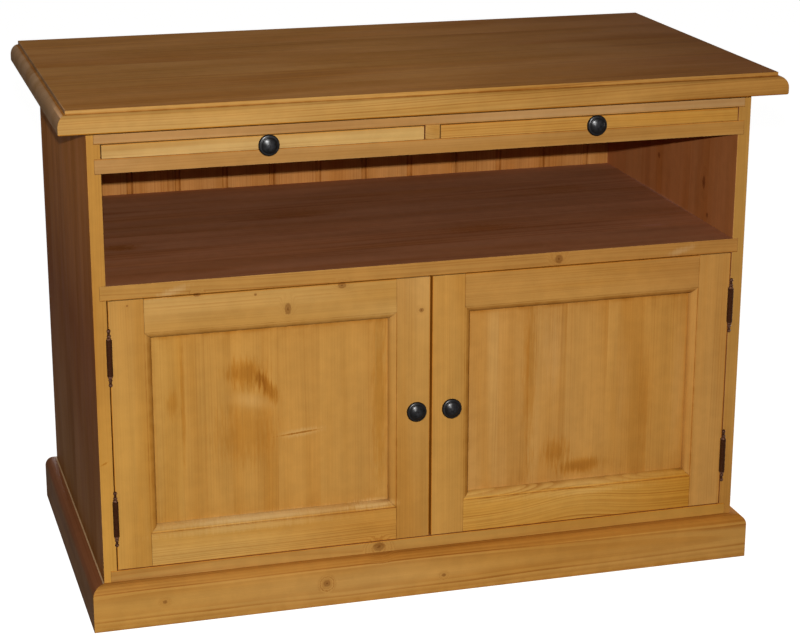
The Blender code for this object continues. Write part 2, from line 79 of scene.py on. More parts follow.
X, Y, Z = 0, 1, 2
SIDES = {"left": -1, "right": 1}
# Points nearer than the first are one, and those nearer to a plane than the second lie in it
MERGE = 1e-6
FLUSH = 2e-5
# Edges over the first angle are sanded, and those over the second stay crisp in the shading
SHARP = math.radians(35)
CREASE = math.radians(50)
WHITE = (1.0, 1.0, 1.0, 1.0)

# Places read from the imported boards
FRONT_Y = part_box("cupboard_floor")[0].y
TOP_LOW, TOP_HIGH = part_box("top_panel")
INNER_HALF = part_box("side_panel_right")[0].x
CARCASS_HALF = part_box("side_panel_right")[1].x
BACK_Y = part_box("side_panel_right")[1].y
PANEL_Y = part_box("door_left_panel")[0].y
DOOR_BACK_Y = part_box("door_left_top_rail")[1].y

# Tints of the waxed pine, as shares of the front's colour. Stops, as (place, tint), fade along a board
FRONT = (1.0, 1.0, 1.0)
INSIDE = (0.76, 0.53, 0.75)
NICHE_FLOOR = (0.76, 0.61, 1.27)
NICHE_BACK = (0.97, 0.83, 1.04)
# The doors' edges in the gaps are painted darker and warmer: painted shade with warm bounce light
DOOR_EDGE_SHADE = (0.80, 0.54, 0.24)
RAW_REAR = (1.04, 1.10, 1.55)
SLIDE_TINT = {
    "left": ((-0.45, (1.14, 1.40, 2.30)), (0.0, (1.14, 1.39, 2.08))),
    "right": ((0.02, (1.08, 1.09, 1.17)), (0.45, (1.05, 1.03, 0.92))),
}
POST_TINT = {
    "left": ((0.15, (1.12, 1.15, 1.01)), (0.40, (0.95, 0.93, 0.84))),
    "right": ((0.15, (1.05, 1.0, 1.03)), (0.40, (0.96, 0.93, 0.92))),
}
# The outer sides are painted in shade: darker than the front, the left one darkest at mid height and paler
# towards its top
SHADED_OUTER_SIDE = {
    "left": ((0.12, (0.72, 0.58, 0.62)), (0.40, (0.65, 0.38, 0.22)), (0.66, (1.27, 0.92, 0.87))),
    "right": ((0.12, (0.82, 0.72, 0.74)), (0.66, (0.92, 0.82, 0.80))),
}
# The top's flat and front moulding are painted darker towards the right, as shade where the light falls off
TOP_FLAT = ((0.0, (0.94, 0.84, 0.92)), (0.53, (0.53, 0.40, 0.42)))
TOP_MOULDING = ((-0.35, (1.02, 1.17, 1.62)), (0.0, (1.00, 1.12, 1.42)), (0.53, (0.83, 0.80, 0.84)))
TOP_END = ((-0.4, (0.97, 1.13, 2.65)), (0.4, (0.94, 0.94, 1.05)))
# The plinth's ends are painted in shade, the left end most, on the face and the ovolo alike
PLINTH_FACE = {
    X: (
        (-0.42, (1.11, 1.11, 1.12)),
        (-0.25, (1.09, 1.09, 1.19)),
        (-0.08, (1.14, 1.17, 1.38)),
        (0.13, (1.18, 1.18, 1.24)),
        (0.36, (1.09, 1.07, 1.13)),
    ),
    Y: ((-0.4, (0.53, 0.48, 0.68)), (0.4, (0.93, 0.86, 0.88))),
}
PLINTH_OVOLO = {
    X: ((-0.5, (0.98, 0.89, 0.79)), (0.5, (0.92, 0.79, 0.66))),
    Y: ((-0.4, (0.44, 0.31, 0.52)), (0.4, (0.84, 0.74, 0.76))),
}
# A painted glint: the pale strip on the left end's flat along the carcass
PLINTH_GLINT = (0.95, 1.22, 2.90)
# Old wax in the joints colours the boards beside them by these shares, over this margin, with painted warm
# bounce light in the joints' shade
SEAM_WAX_AND_BOUNCE = (1.08, 0.78, 0.30)
SEAM_MARGIN = 0.0016

# Knots as (centre, reach across x, y and z), on the boards' faces
PLINTH_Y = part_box("plinth_front")[0].y
KNOTS = (
    ((-0.2125, FRONT_Y, 0.4580), (0.0044, 0.02, 0.0080)),
    ((-0.1333, FRONT_Y, 0.4862), (0.0060, 0.02, 0.0042)),
    ((-0.2591, FRONT_Y, 0.4827), (0.0019, 0.01, 0.0019)),
    ((-0.3425, FRONT_Y, 0.4890), (0.0046, 0.01, 0.0026)),
    ((-0.4410, FRONT_Y, 0.4808), (0.0014, 0.01, 0.0014)),
    ((-0.0149, FRONT_Y, 0.4396), (0.0034, 0.02, 0.0030)),
    ((0.1944, FRONT_Y, 0.5003), (0.0058, 0.03, 0.0060)),
    ((-0.0788, FRONT_Y, 0.0765), (0.0080, 0.03, 0.0066)),
    ((-0.1637, PLINTH_Y, 0.0359), (0.0052, 0.02, 0.0050)),
    ((0.0168, PLINTH_Y, 0.0275), (0.0032, 0.02, 0.0026)),
    ((-0.4049, PLINTH_Y, 0.0364), (0.0034, 0.02, 0.0026)),
    ((INNER_HALF, 0.0449, 0.5742), (0.02, 0.0044, 0.0044)),
    ((INNER_HALF, -0.1501, 0.5236), (0.02, 0.0034, 0.0036)),
    ((INNER_HALF, -0.1326, 0.5707), (0.02, 0.0052, 0.0095)),
)

# Darker figure and handling marks as (centre, reach, tilt in degrees, strength). A negative strength is paler
MOULDING_Y = FRONT_Y + 0.006
NICHE_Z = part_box("niche_shelf")[1].z
STAINS = (
    # A burnt smear with its tail, and the rubbed and amber places under it, on the left panel
    ((-0.2719, PANEL_Y, 0.3625), (0.046, 0.02, 0.034), -9.0, 0.64),
    ((-0.2410, PANEL_Y, 0.3385), (0.040, 0.02, 0.0160), -54.0, 0.60),
    ((-0.2640, PANEL_Y, 0.3190), (0.046, 0.02, 0.017), -14.0, -0.34),
    ((-0.2735, PANEL_Y, 0.2720), (0.080, 0.02, 0.085), 0.0, 0.38),
    ((-0.3797, PANEL_Y, 0.3265), (0.016, 0.02, 0.038), 0.0, 0.38),
    ((-0.3644, PANEL_Y, 0.3300), (0.0052, 0.02, 0.170), 0.0, 0.38),
    ((-0.0745, PANEL_Y, 0.3000), (0.019, 0.02, 0.240), 0.0, 0.42),
    # A scratch on the left panel: a pale bruise with a dark line in it
    ((-0.1925, PANEL_Y, 0.2652), (0.046, 0.02, 0.0085), 4.6, -0.55),
    ((-0.1938, PANEL_Y, 0.2647), (0.044, 0.02, 0.0022), 4.6, 1.0),
    # Figure of the right panel
    ((0.2400, PANEL_Y, 0.1680), (0.054, 0.02, 0.017), 3.0, 0.50),
    ((0.2021, PANEL_Y, 0.1980), (0.034, 0.02, 0.036), 0.0, 0.40),
    ((0.1575, PANEL_Y, 0.3300), (0.017, 0.02, 0.210), 0.0, 0.42),
    ((0.1960, PANEL_Y, 0.3600), (0.026, 0.02, 0.095), 0.0, -0.18),
    ((0.3083, PANEL_Y, 0.3000), (0.018, 0.02, 0.110), 0.0, -0.15),
    ((0.3450, PANEL_Y, 0.2700), (0.022, 0.02, 0.140), 0.0, 0.24),
    ((0.3960, PANEL_Y, 0.2900), (0.016, 0.02, 0.190), 0.0, -0.22),
    ((0.2250, PANEL_Y, 0.1700), (0.170, 0.02, 0.050), 0.0, 0.20),
    # Pale streaks on the mouldings under the panels and on the rails below them, and an open joint beside
    # them
    ((-0.0850, MOULDING_Y, 0.1440), (0.046, 0.02, 0.0100), 0.0, -1.0),
    ((-0.2400, MOULDING_Y, 0.1430), (0.210, 0.02, 0.0090), 0.0, -0.55),
    ((0.2450, MOULDING_Y, 0.1430), (0.220, 0.02, 0.0090), 0.0, -0.36),
    ((-0.2700, FRONT_Y, 0.1310), (0.190, 0.02, 0.0080), 0.0, -0.42),
    ((0.2300, FRONT_Y, 0.1310), (0.190, 0.02, 0.0080), 0.0, -0.32),
    ((0.2274, FRONT_Y, 0.1367), (0.105, 0.02, 0.0020), -3.2, 0.50),
    # Feathered tears on the edge of the niche's shelf, and a check in the left post
    ((-0.3790, FRONT_Y, 0.4955), (0.034, 0.02, 0.0080), 17.0, -0.70),
    ((0.3870, FRONT_Y, 0.4985), (0.034, 0.02, 0.0072), 15.0, -0.70),
    ((-0.4810, FRONT_Y, 0.2505), (0.0100, 0.02, 0.0022), 26.0, 0.55),
    # Blotches and scuffs on the niche's floor, and dust where it meets the right side
    ((-0.4210, -0.0520, NICHE_Z), (0.050, 0.026, 0.02), 0.0, 0.60),
    ((-0.1180, 0.0740, NICHE_Z), (0.120, 0.045, 0.02), 0.0, 0.34),
    ((0.1250, -0.0860, NICHE_Z), (0.110, 0.036, 0.02), 0.0, 0.40),
    ((0.3290, 0.1180, NICHE_Z), (0.090, 0.040, 0.02), 0.0, 0.34),
    ((0.3870, -0.1400, NICHE_Z), (0.030, 0.010, 0.02), 0.0, -0.30),
    ((INNER_HALF, 0.0300, NICHE_Z), (0.0045, 0.210, 0.0045), 0.0, -0.50),
)


# Kinds of settings
Colour = partial(FloatVectorProperty, subtype="COLOR", size=3, min=0.0, max=1.0)
Place = partial(FloatVectorProperty, subtype="XYZ", unit="LENGTH", size=3)
Length = partial(FloatProperty, unit="LENGTH", min=0.0001)
Power = partial(FloatProperty, unit="POWER", min=0.0)


class PineSettings(PropertyGroup):
    """Colour and grain of the waxed boards."""

    early_colour: Colour(
        name="Early wood",
        description="Colour of the pale wood between the rings",
        default=(0.470, 0.236, 0.0515),
    )
    late_colour: Colour(
        name="Late wood",
        description="Colour of the dense wood at the end of each ring",
        default=(0.330, 0.128, 0.020),
    )
    knot_colour: Colour(
        name="Knots", description="Colour at the heart of a knot", default=(0.135, 0.036, 0.0040)
    )
    ring_width: Length(name="Ring width", description="Growth of one year", default=0.0042)
    ease: Length(
        name="Eased edge", description="Width that is sanded off the boards' edges", default=0.0006
    )
    joint_ease: Length(
        name="Eased joint",
        description="Width that is sanded off the edges of the door frames",
        default=0.00035,
    )
    stave_width: Length(
        name="Stave width",
        description="Usual width of the staves that wide boards are glued from",
        default=0.088,
    )


class MouldingSettings(PropertyGroup):
    """Sizes of the moulded edges."""

    top_step: Length(
        name="Top fillet", description="Height of the square fillet over the top's ovolo", default=0.0055
    )
    top_ovolo_width: Length(
        name="Top ovolo width", description="How far the top's ovolo stands out", default=0.0123
    )
    top_ovolo_height: Length(
        name="Top ovolo height", description="Height of the top's ovolo", default=0.016
    )
    top_under_round: Length(name="Under edge", description="Radius under the top's edge", default=0.003)
    plinth_flat: Length(
        name="Plinth flat", description="Width of the flat on top of the plinth", default=0.007
    )
    plinth_ovolo_height: Length(
        name="Plinth ovolo height", description="Height of the plinth's ovolo", default=0.014
    )
    steps: IntProperty(name="Steps", description="Facets in each rounded moulding", default=14, min=4)


class FittingSettings(PropertyGroup):
    """Colours and sizes of the knobs, hinges and catch."""

    iron_colour: Colour(
        name="Black iron", description="Colour of the knobs", default=(0.0008, 0.0007, 0.0007)
    )
    # Also the painted shine on the knobs' crowns
    iron_rubbed_and_shine: Colour(
        name="Rubbed iron",
        description="Colour where hands have rubbed the knobs",
        default=(0.009, 0.009, 0.010),
    )
    bronze_colour: Colour(
        name="Dark bronze", description="Colour of the hinges", default=(0.031, 0.0080, 0.0013)
    )
    bronze_worn: Colour(
        name="Rubbed bronze",
        description="Colour on the high places of the hinges",
        default=(0.190, 0.090, 0.055),
    )
    steel_colour: Colour(
        name="Steel", description="Colour of the strikes and pole plates", default=(0.52, 0.52, 0.51)
    )
    catch_colour: Colour(
        name="Catch", description="Colour of the magnetic catch's housing", default=(0.10, 0.05, 0.025)
    )
    turns: IntProperty(name="Turning steps", description="Steps round a turned piece", default=56, min=12)
    knuckles: IntProperty(name="Knuckles", description="Knuckles in each hinge's barrel", default=5, min=3)
    barrel_radius: Length(name="Barrel radius", description="Radius of a hinge's barrel", default=0.0042)
    knuckle_gap: Length(name="Knuckle gap", description="Gap between two knuckles", default=0.0004)
    pin_radius: Length(name="Pin radius", description="Radius of a hinge's pin", default=0.0021)
    nail_radius: Length(
        name="Nail head", description="Radius of the nail heads in the back", default=0.0016
    )


class StageSettings(PropertyGroup):
    """Floor, lamps and camera."""

    floor_colour: Colour(name="Floor", description="Colour of the floor", default=(0.36, 0.36, 0.355))
    floor_bounce: Colour(
        name="Floor bounce",
        description="Colour of the light that the floor gives back",
        default=(0.13, 0.12, 0.105),
    )
    floor_glow: FloatProperty(
        name="Floor glow",
        description="Brightness that lifts the floor to a pale ground",
        default=0.96,
        min=0.0,
    )
    gloss_share: FloatProperty(
        name="Ground in the gloss",
        description="Share of the pale ground's brightness that polished pieces reflect",
        subtype="FACTOR",
        default=0.30,
        min=0.0,
        max=1.0,
    )
    key_power: Power(name="Key lamp", description="Power of the lamp over the camera", default=97.0)
    key_size: Length(name="Key size", description="Width of the lamp over the camera", default=0.03)
    key_place: Place(
        name="Key place",
        description="Where the lamp over the camera stands",
        default=(-0.865, -3.078, 1.452),
    )
    sky_power: Power(
        name="Overhead lamp", description="Power of the wide soft lamp over the piece", default=6.5
    )
    high_power: Power(
        name="High lamp",
        description="Power of the soft lamp high in front, for the shine on the knobs",
        default=290.0,
    )
    fill_power: Power(
        name="Rear lamps", description="Power of the low lamps behind and beside the piece", default=60.0
    )
    ambient: FloatProperty(
        name="Room light", description="Brightness of the room around the piece", default=0.09, min=0.0
    )
    room_colour: Colour(
        name="Room colour", description="Colour of the light of the room", default=(1.0, 0.94, 0.88)
    )
    camera_place: Place(
        name="Camera place", description="Where the camera stands", default=(-0.8651, -3.0780, 1.3533)
    )
    lens: FloatProperty(
        name="Lens", description="Focal length of the camera", unit="CAMERA", default=96.46, min=1.0
    )


# Sockets of a mix node for its factor and its two colours
COLOUR_MIX = (0, 6, 7)


class Nodes:
    """A node tree that is being drawn. An input that gets a socket is linked, and one with a value is set."""

    def __init__(self, tree):
        self.tree = tree

    def add(self, kind, inputs=(), **settings):
        node = self.tree.nodes.new(kind)
        for name, value in settings.items():
            setattr(node, name, value)
        self.wire(node, inputs)
        return node

    def wire(self, node, inputs):
        for key, value in dict(inputs).items():
            if isinstance(value, bpy.types.NodeSocket):
                self.tree.links.new(value, node.inputs[key])
            else:
                node.inputs[key].default_value = value

    def math(self, operation, *values, clamp=False):
        return self.add("ShaderNodeMath", enumerate(values), operation=operation, use_clamp=clamp).outputs[0]

    def vector(self, operation, *values):
        node = self.add("ShaderNodeVectorMath", enumerate(values), operation=operation)
        return node.outputs["Value" if operation == "LENGTH" else "Vector"]

    def ramp(self, value, start, stop, low=0.0, high=1.0):
        limits = {"Value": value, "From Min": start, "From Max": stop, "To Min": low, "To Max": high}
        return self.add("ShaderNodeMapRange", limits, interpolation_type="SMOOTHSTEP").outputs[0]

    def noise(self, point, stretch, detail=2.0, roughness=0.5):
        stretched = self.vector("MULTIPLY", point, stretch)
        inputs = {"Vector": stretched, "Scale": 1.0, "Detail": detail, "Roughness": roughness}
        return self.add("ShaderNodeTexNoise", inputs).outputs[0]

    def blend(self, factor, low, high, how="MIX"):
        inputs = zip(COLOUR_MIX, (factor, low, high))
        node = self.add("ShaderNodeMix", inputs, data_type="RGBA", blend_type=how, clamp_factor=True)
        return node.outputs[2]

    def coloured(self, factor, colour, shares):
        """A colour that takes on these shares of itself where the factor is high."""
        return self.blend(factor, colour, self.blend(1.0, colour, opaque(shares), "MULTIPLY"))

    def grey(self, level):
        return self.add("ShaderNodeCombineColor", {0: level, 1: level, 2: level}).outputs[0]

    def group(self, tree, inputs=()):
        return self.add("ShaderNodeGroup", inputs, node_tree=tree).outputs


SOCKETS = {"value": "NodeSocketFloat", "vector": "NodeSocketVector", "colour": "NodeSocketColor"}


def drawn_once(name, inputs, outputs):
    """Makes a node group of a function that draws it. The group is drawn when it is first asked for."""

    def wrap(draw):
        def group():
            if name not in bpy.data.node_groups:
                tree = bpy.data.node_groups.new(name, "ShaderNodeTree")
                for direction, listed in (("INPUT", inputs), ("OUTPUT", outputs)):
                    for label, kind in listed.items():
                        tree.interface.new_socket(name=label, in_out=direction, socket_type=SOCKETS[kind])
                nodes = Nodes(tree)
                nodes.add("NodeGroupOutput", draw(nodes, nodes.add("NodeGroupInput").outputs))
            return bpy.data.node_groups[name]

        return group

    return wrap


def sockets(kind, *names):
    return dict.fromkeys(names, kind)


@drawn_once(
    "pine_figure",
    sockets("vector", "Grain") | sockets("value", "Swirl", "Ring width"),
    sockets("value", "Late", "Fibre", "Band", "Broad", "Cloud"),
)
def figure_group(nodes, given):
    """Growth rings round a pith beside the board, with fibres, bands and clouds along the grain."""
    grain = given["Grain"]
    section = nodes.vector("MULTIPLY", grain, (0.0, 1.0, 1.0))
    radius = nodes.vector("LENGTH", section)
    wander = nodes.noise(grain, (1.3, 8.0, 8.0), 2.0)
    ripple = nodes.noise(grain, (7.0, 60.0, 60.0), 1.0)
    shift = nodes.math("MULTIPLY_ADD", wander, 0.016, radius)
    shift = nodes.math("MULTIPLY_ADD", ripple, 0.0012, shift)
    shift = nodes.math("MULTIPLY_ADD", given["Swirl"], 0.012, shift)
    years = nodes.math("DIVIDE", shift, given["Ring width"])
    slow = {"W": years, "Scale": 0.35, "Detail": 1.0}
    season = nodes.add("ShaderNodeTexNoise", slow, noise_dimensions="1D")
    years = nodes.math("MULTIPLY_ADD", season.outputs[0], 2.2, years)
    turn = nodes.math("FRACT", years)
    rise = nodes.ramp(turn, 0.30, 0.86)
    fall = nodes.ramp(turn, 0.90, 1.0, 1.0, 0.0)
    late = nodes.math("MULTIPLY", rise, fall)
    year = nodes.math("FLOOR", years)
    vigour = nodes.add("ShaderNodeTexWhiteNoise", {"W": year}, noise_dimensions="1D").outputs["Value"]
    late = nodes.math("MULTIPLY", late, nodes.ramp(vigour, 0.0, 1.0, 0.35, 1.0))
    fibre = nodes.noise(grain, (11.0, 900.0, 900.0), 2.0, 0.6)
    band = nodes.noise(grain, (1.6, 62.0, 62.0), 3.0, 0.55)
    broad = nodes.noise(nodes.vector("ADD", grain, (3.7, 0.0, 0.0)), (1.9, 21.0, 21.0), 2.0, 0.5)
    cloud = nodes.noise(grain, (4.5, 15.0, 15.0), 2.0, 0.5)
    return {"Late": late, "Fibre": fibre, "Band": band, "Broad": broad, "Cloud": cloud}


@drawn_once("pine_knot", sockets("vector", "Point", "Centre", "Reach"), sockets("value", "Heart", "Swirl"))
def knot_group(nodes, given):
    """One knot: a brown body with a darker rim and core, and a swirl that bends the rings round it."""
    away = nodes.vector("SUBTRACT", given["Point"], given["Centre"])
    away = nodes.vector("LENGTH", nodes.vector("DIVIDE", away, given["Reach"]))
    ragged = nodes.noise(given["Point"], (420.0, 420.0, 420.0), 2.0)
    away = nodes.math("MULTIPLY_ADD", ragged, 0.8, nodes.math("SUBTRACT", away, 0.40))
    body = nodes.ramp(away, 0.60, 1.30, 0.44, 0.0)
    rim = nodes.math("MULTIPLY", nodes.ramp(away, 0.45, 0.85), nodes.ramp(away, 0.90, 1.25, 0.20, 0.0))
    core = nodes.ramp(away, 0.10, 0.55, 0.38, 0.0)
    heart = nodes.math("ADD", nodes.math("ADD", body, rim), core, clamp=True)
    swirl = nodes.ramp(away, 0.8, 3.4, 1.0, 0.0)
    return {"Heart": heart, "Swirl": swirl}


@drawn_once(
    "pine_stain",
    sockets("vector", "Point", "Centre", "Reach") | sockets("value", "Tilt"),
    sockets("value", "Mark"),
)
def stain_group(nodes, given):
    """One soft mark, longer along its tilted axis, with ragged ends."""
    away = nodes.vector("SUBTRACT", given["Point"], given["Centre"])
    tilted = {"Vector": away, "Angle": given["Tilt"]}
    away = nodes.add("ShaderNodeVectorRotate", tilted, rotation_type="Y_AXIS").outputs[0]
    away = nodes.vector("LENGTH", nodes.vector("DIVIDE", away, given["Reach"]))
    ragged = nodes.noise(given["Point"], (330.0, 160.0, 34.0), 3.0, 0.6)
    away = nodes.math("MULTIPLY_ADD", ragged, 1.1, nodes.math("SUBTRACT", away, 0.55))
    return {"Mark": nodes.ramp(away, 0.1, 1.0, 1.0, 0.0)}


MARKS = ("Heart", "Swirl", "Dark", "Pale")


@drawn_once("pine_marks", sockets("vector", "Point"), sockets("value", *MARKS))
def marks_group(nodes, given):
    """All knots and stains of the piece, at their places on the boards."""
    totals = dict.fromkeys(MARKS, 0.0)
    for centre, reach in KNOTS:
        made = nodes.group(knot_group(), {"Point": given["Point"], "Centre": centre, "Reach": reach})
        for key in ("Heart", "Swirl"):
            totals[key] = nodes.math("ADD", made[key], totals[key], clamp=True)
    for centre, reach, tilt, strength in STAINS:
        placed = {"Point": given["Point"], "Centre": centre, "Reach": reach, "Tilt": math.radians(tilt)}
        mark = nodes.group(stain_group(), placed)["Mark"]
        key = "Dark" if strength > 0 else "Pale"
        totals[key] = nodes.math("MULTIPLY_ADD", mark, abs(strength), totals[key], clamp=True)
    return totals


# What figure, stains, wear, old wax, dirt and painted shade do to the wood's colour, as shares of it
AMBER = (0.90, 0.82, 0.66)
STAINED = (0.84, 0.70, 0.42)
BURNT = (0.70, 0.60, 0.50)
PALE_MARK_SHARES = (1.25, 1.52, 2.50)
WORN = (1.16, 1.22, 1.45)
WAX_DIRT_AND_SHADE_SHARES = (0.72, 0.50, 0.11)


@drawn_once(
    "waxed_pine",
    sockets("vector", "Grain", "Point", "Patina")
    | sockets("colour", "Tint", "Early", "Late", "Knot")
    | sockets("value", "Ring width", "Contrast", "Vigour"),
    sockets("colour", "Colour") | sockets("value", "Roughness", "Height"),
)
def wax_group(nodes, given):
    """Colour, roughness and height of waxed pine from its figure, marks, tint, wear, and darkening by wax,
    dirt and painted shade.
    """
    marks = nodes.group(marks_group(), {"Point": given["Point"]})
    log = {"Grain": given["Grain"], "Swirl": marks["Swirl"], "Ring width": given["Ring width"]}
    figure = nodes.group(figure_group(), log)
    strength = nodes.math("MULTIPLY", given["Contrast"], given["Vigour"])
    strength = nodes.math("MULTIPLY", strength, nodes.ramp(figure["Cloud"], 0.36, 0.64, 0.55, 1.20))
    late = nodes.math("MULTIPLY", figure["Late"], strength, clamp=True)
    colour = nodes.blend(late, given["Early"], given["Late"])
    band = nodes.ramp(figure["Band"], 0.32, 0.70, 1.035, 0.955)
    cloud = nodes.ramp(figure["Cloud"], 0.30, 0.72, 1.04, 0.945)
    fibre = nodes.ramp(figure["Fibre"], 0.25, 0.75, 0.96, 1.035)
    patchy = nodes.noise(given["Point"], (55.0, 55.0, 55.0), 3.0)
    mottle = nodes.ramp(patchy, 0.30, 0.70, 0.965, 1.03)
    level = nodes.math("MULTIPLY", nodes.math("MULTIPLY", band, cloud), nodes.math("MULTIPLY", fibre, mottle))
    colour = nodes.blend(1.0, colour, nodes.grey(level), "MULTIPLY")
    colour = nodes.coloured(nodes.ramp(figure["Broad"], 0.40, 0.72), colour, AMBER)
    colour = nodes.coloured(nodes.ramp(marks["Dark"], 0.0, 0.6), colour, STAINED)
    colour = nodes.coloured(nodes.ramp(marks["Dark"], 0.35, 1.0), colour, BURNT)
    colour = nodes.coloured(marks["Pale"], colour, PALE_MARK_SHARES)
    halo = nodes.math("MULTIPLY", marks["Swirl"], 0.12)
    colour = nodes.blend(halo, colour, given["Late"])
    colour = nodes.blend(marks["Heart"], colour, given["Knot"])
    colour = nodes.blend(1.0, colour, given["Tint"], "MULTIPLY")
    patina = nodes.add("ShaderNodeSeparateXYZ", {0: given["Patina"]}).outputs
    worn = nodes.math("MULTIPLY", patina[0], nodes.ramp(patchy, 0.30, 0.62, 0.25, 1.0))
    colour = nodes.coloured(worn, colour, WORN)
    # Darkening by old wax, dirt, and painted shade in creases, mouldings and the shadowed edges of panels
    wax_dirt_and_shade = nodes.math("MULTIPLY", patina[1], nodes.ramp(patchy, 0.28, 0.68, 1.0, 0.45))
    colour = nodes.coloured(wax_dirt_and_shade, colour, WAX_DIRT_AND_SHADE_SHARES)
    rough = nodes.ramp(figure["Cloud"], 0.3, 0.7, 0.48, 0.58)
    rough = nodes.math("MULTIPLY_ADD", figure["Fibre"], 0.14, rough)
    rough = nodes.math("MULTIPLY_ADD", late, -0.06, rough)
    height = nodes.math("MULTIPLY_ADD", late, 0.5, nodes.math("MULTIPLY", figure["Fibre"], 0.8))
    height = nodes.math("MULTIPLY_ADD", marks["Heart"], -0.7, height)
    return {"Colour": colour, "Roughness": rough, "Height": height}


def new_material(name):
    """A material with only its output and a Principled shader."""
    made = bpy.data.materials.new(name)
    made.use_nodes = True
    made.node_tree.nodes.clear()
    nodes = Nodes(made.node_tree)
    shader = nodes.add("ShaderNodeBsdfPrincipled")
    nodes.add("ShaderNodeOutputMaterial", {"Surface": shader.outputs[0]})
    return made, nodes, shader


def opaque(colour):
    return (*colour, 1.0)


WAX_SHINE = 0.035


def pine(name, contrast):
    """Waxed pine. The boards carry their place in the log, tint, and their wear, wax, dirt and painted shade
    as attributes.
    """
    if name in bpy.data.materials:
        return bpy.data.materials[name]
    wood = bpy.context.scene.sideboard_pine
    made, nodes, shader = new_material(name)
    stored = [nodes.add("ShaderNodeAttribute", attribute_name=key) for key in ("grain", "tint", "patina")]
    grain, tint, patina = (attribute.outputs for attribute in stored)
    inputs = {
        "Grain": grain["Vector"],
        "Point": nodes.add("ShaderNodeTexCoord").outputs["Object"],
        "Tint": tint["Color"],
        "Patina": patina["Vector"],
        "Ring width": wood.ring_width,
        "Early": opaque(wood.early_colour),
        "Late": opaque(wood.late_colour),
        "Knot": opaque(wood.knot_colour),
        "Contrast": contrast,
        "Vigour": tint["Alpha"],
    }
    wax = nodes.group(wax_group(), inputs)
    bump = nodes.add("ShaderNodeBump", {"Strength": 0.35, "Distance": 0.0004, "Height": wax["Height"]})
    nodes.wire(shader, {"Base Color": wax["Colour"], "Roughness": wax["Roughness"]})
    nodes.wire(shader, {"Normal": bump.outputs[0], "Specular IOR Level": WAX_SHINE})
    return made


@drawn_once(
    "rubbed_finish",
    sockets("vector", "Point") | sockets("value", "Rub", "Scale"),
    sockets("value", "Worn", "Pits"),
)
def rubbed_group(nodes, given):
    """How far hands have rubbed a finish off, with the painted shine on the knobs' crowns: the given high
    places, broken up by scuffs and fine pits.
    """
    scaled = {0: given["Point"], "Scale": given["Scale"]}
    fine = nodes.add("ShaderNodeVectorMath", scaled, operation="SCALE").outputs["Vector"]
    scuff = nodes.noise(fine, (1.0, 1.0, 1.0), 4.0, 0.62)
    pits = nodes.noise(fine, (5.0, 5.0, 5.0), 2.0, 0.5)
    worn = nodes.math("MULTIPLY", given["Rub"], nodes.ramp(scuff, 0.32, 0.66))
    return {"Worn": worn, "Pits": pits}


COAT_ROUGHNESS = 0.33


def metal(name, colour, worn_colour, roughness, metallic, scale, specular=0.5, coat=0.0):
    """A dark finish over metal, rubbed on the places that the piece's rub attribute marks. On the knobs'
    crowns it is a painted shine.
    """
    if name in bpy.data.materials:
        return bpy.data.materials[name]
    made, nodes, shader = new_material(name)
    rub = nodes.add("ShaderNodeAttribute", attribute_name="rub").outputs["Fac"]
    point = nodes.add("ShaderNodeTexCoord").outputs["Object"]
    finish = nodes.group(rubbed_group(), {"Point": point, "Rub": rub, "Scale": scale})
    base = nodes.blend(finish["Worn"], opaque(colour), opaque(worn_colour))
    rough = nodes.math("MULTIPLY_ADD", finish["Pits"], 0.16, roughness - 0.08)
    bump = nodes.add("ShaderNodeBump", {"Strength": 0.15, "Distance": 0.0002, "Height": finish["Pits"]})
    nodes.wire(shader, {"Base Color": base, "Roughness": rough, "Normal": bump.outputs[0]})
    nodes.wire(shader, {"Metallic": metallic, "Specular IOR Level": specular})
    nodes.wire(shader, {"Coat Weight": coat, "Coat Roughness": COAT_ROUGHNESS})
    return made


def iron():
    fittings = bpy.context.scene.sideboard_fittings
    colours = fittings.iron_colour, fittings.iron_rubbed_and_shine
    return metal("black_iron_paint", *colours, 0.36, 0.0, 240.0, specular=0.05, coat=0.22)


def bronze():
    fittings = bpy.context.scene.sideboard_fittings
    colours = fittings.bronze_colour, fittings.bronze_worn
    return metal("dark_bronze_lacquer", *colours, 0.38, 0.0, 520.0, specular=0.06)


def steel():
    colour = bpy.context.scene.sideboard_fittings.steel_colour
    return metal("plated_steel", colour, [0.75 * share for share in colour], 0.34, 1.0, 300.0)


def catch_plastic():
    colour = bpy.context.scene.sideboard_fittings.catch_colour
    return metal("catch_housing", colour, [1.5 * share for share in colour], 0.50, 0.0, 260.0)


def node_copy(node):
    """A bmesh of a packed board, its triangles merged back into flat faces."""
    bm = bmesh.new()
    bm.from_mesh(frame["nodes"][node].data)
    bmesh.ops.remove_doubles(bm, verts=bm.verts, dist=MERGE)
    bmesh.ops.dissolve_limit(
        bm,
        angle_limit=math.radians(1.0),
        use_dissolve_boundaries=False,
        verts=bm.verts,
        edges=bm.edges,
        delimit=set(),
    )
    return bm


def middle_of(node):
    return sum(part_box(node), Vector()) / 2


def box_of(bm):
    low = Vector(min(v.co[i] for v in bm.verts) for i in range(3))
    high = Vector(max(v.co[i] for v in bm.verts) for i in range(3))
    return low, high


def on_box_edge(bm):
    """A test for edges that lie along the edges of the board's own box."""
    low, high = box_of(bm)

    def test(edge):
        planes = 0
        for i in range(3):
            for limit in (low[i], high[i]):
                planes += all(abs(v.co[i] - limit) < FLUSH for v in edge.verts)
        return planes >= 2

    return test


def on_door_face(edge):
    """A test for edges of a door's front or back, and for the corners between the two."""
    ys = sorted(v.co.y for v in edge.verts)
    for face in (FRONT_Y, DOOR_BACK_Y):
        if all(abs(y - face) < FLUSH for y in ys):
            return True
    return abs(ys[0] - FRONT_Y) < FLUSH and abs(ys[1] - DOOR_BACK_Y) < FLUSH


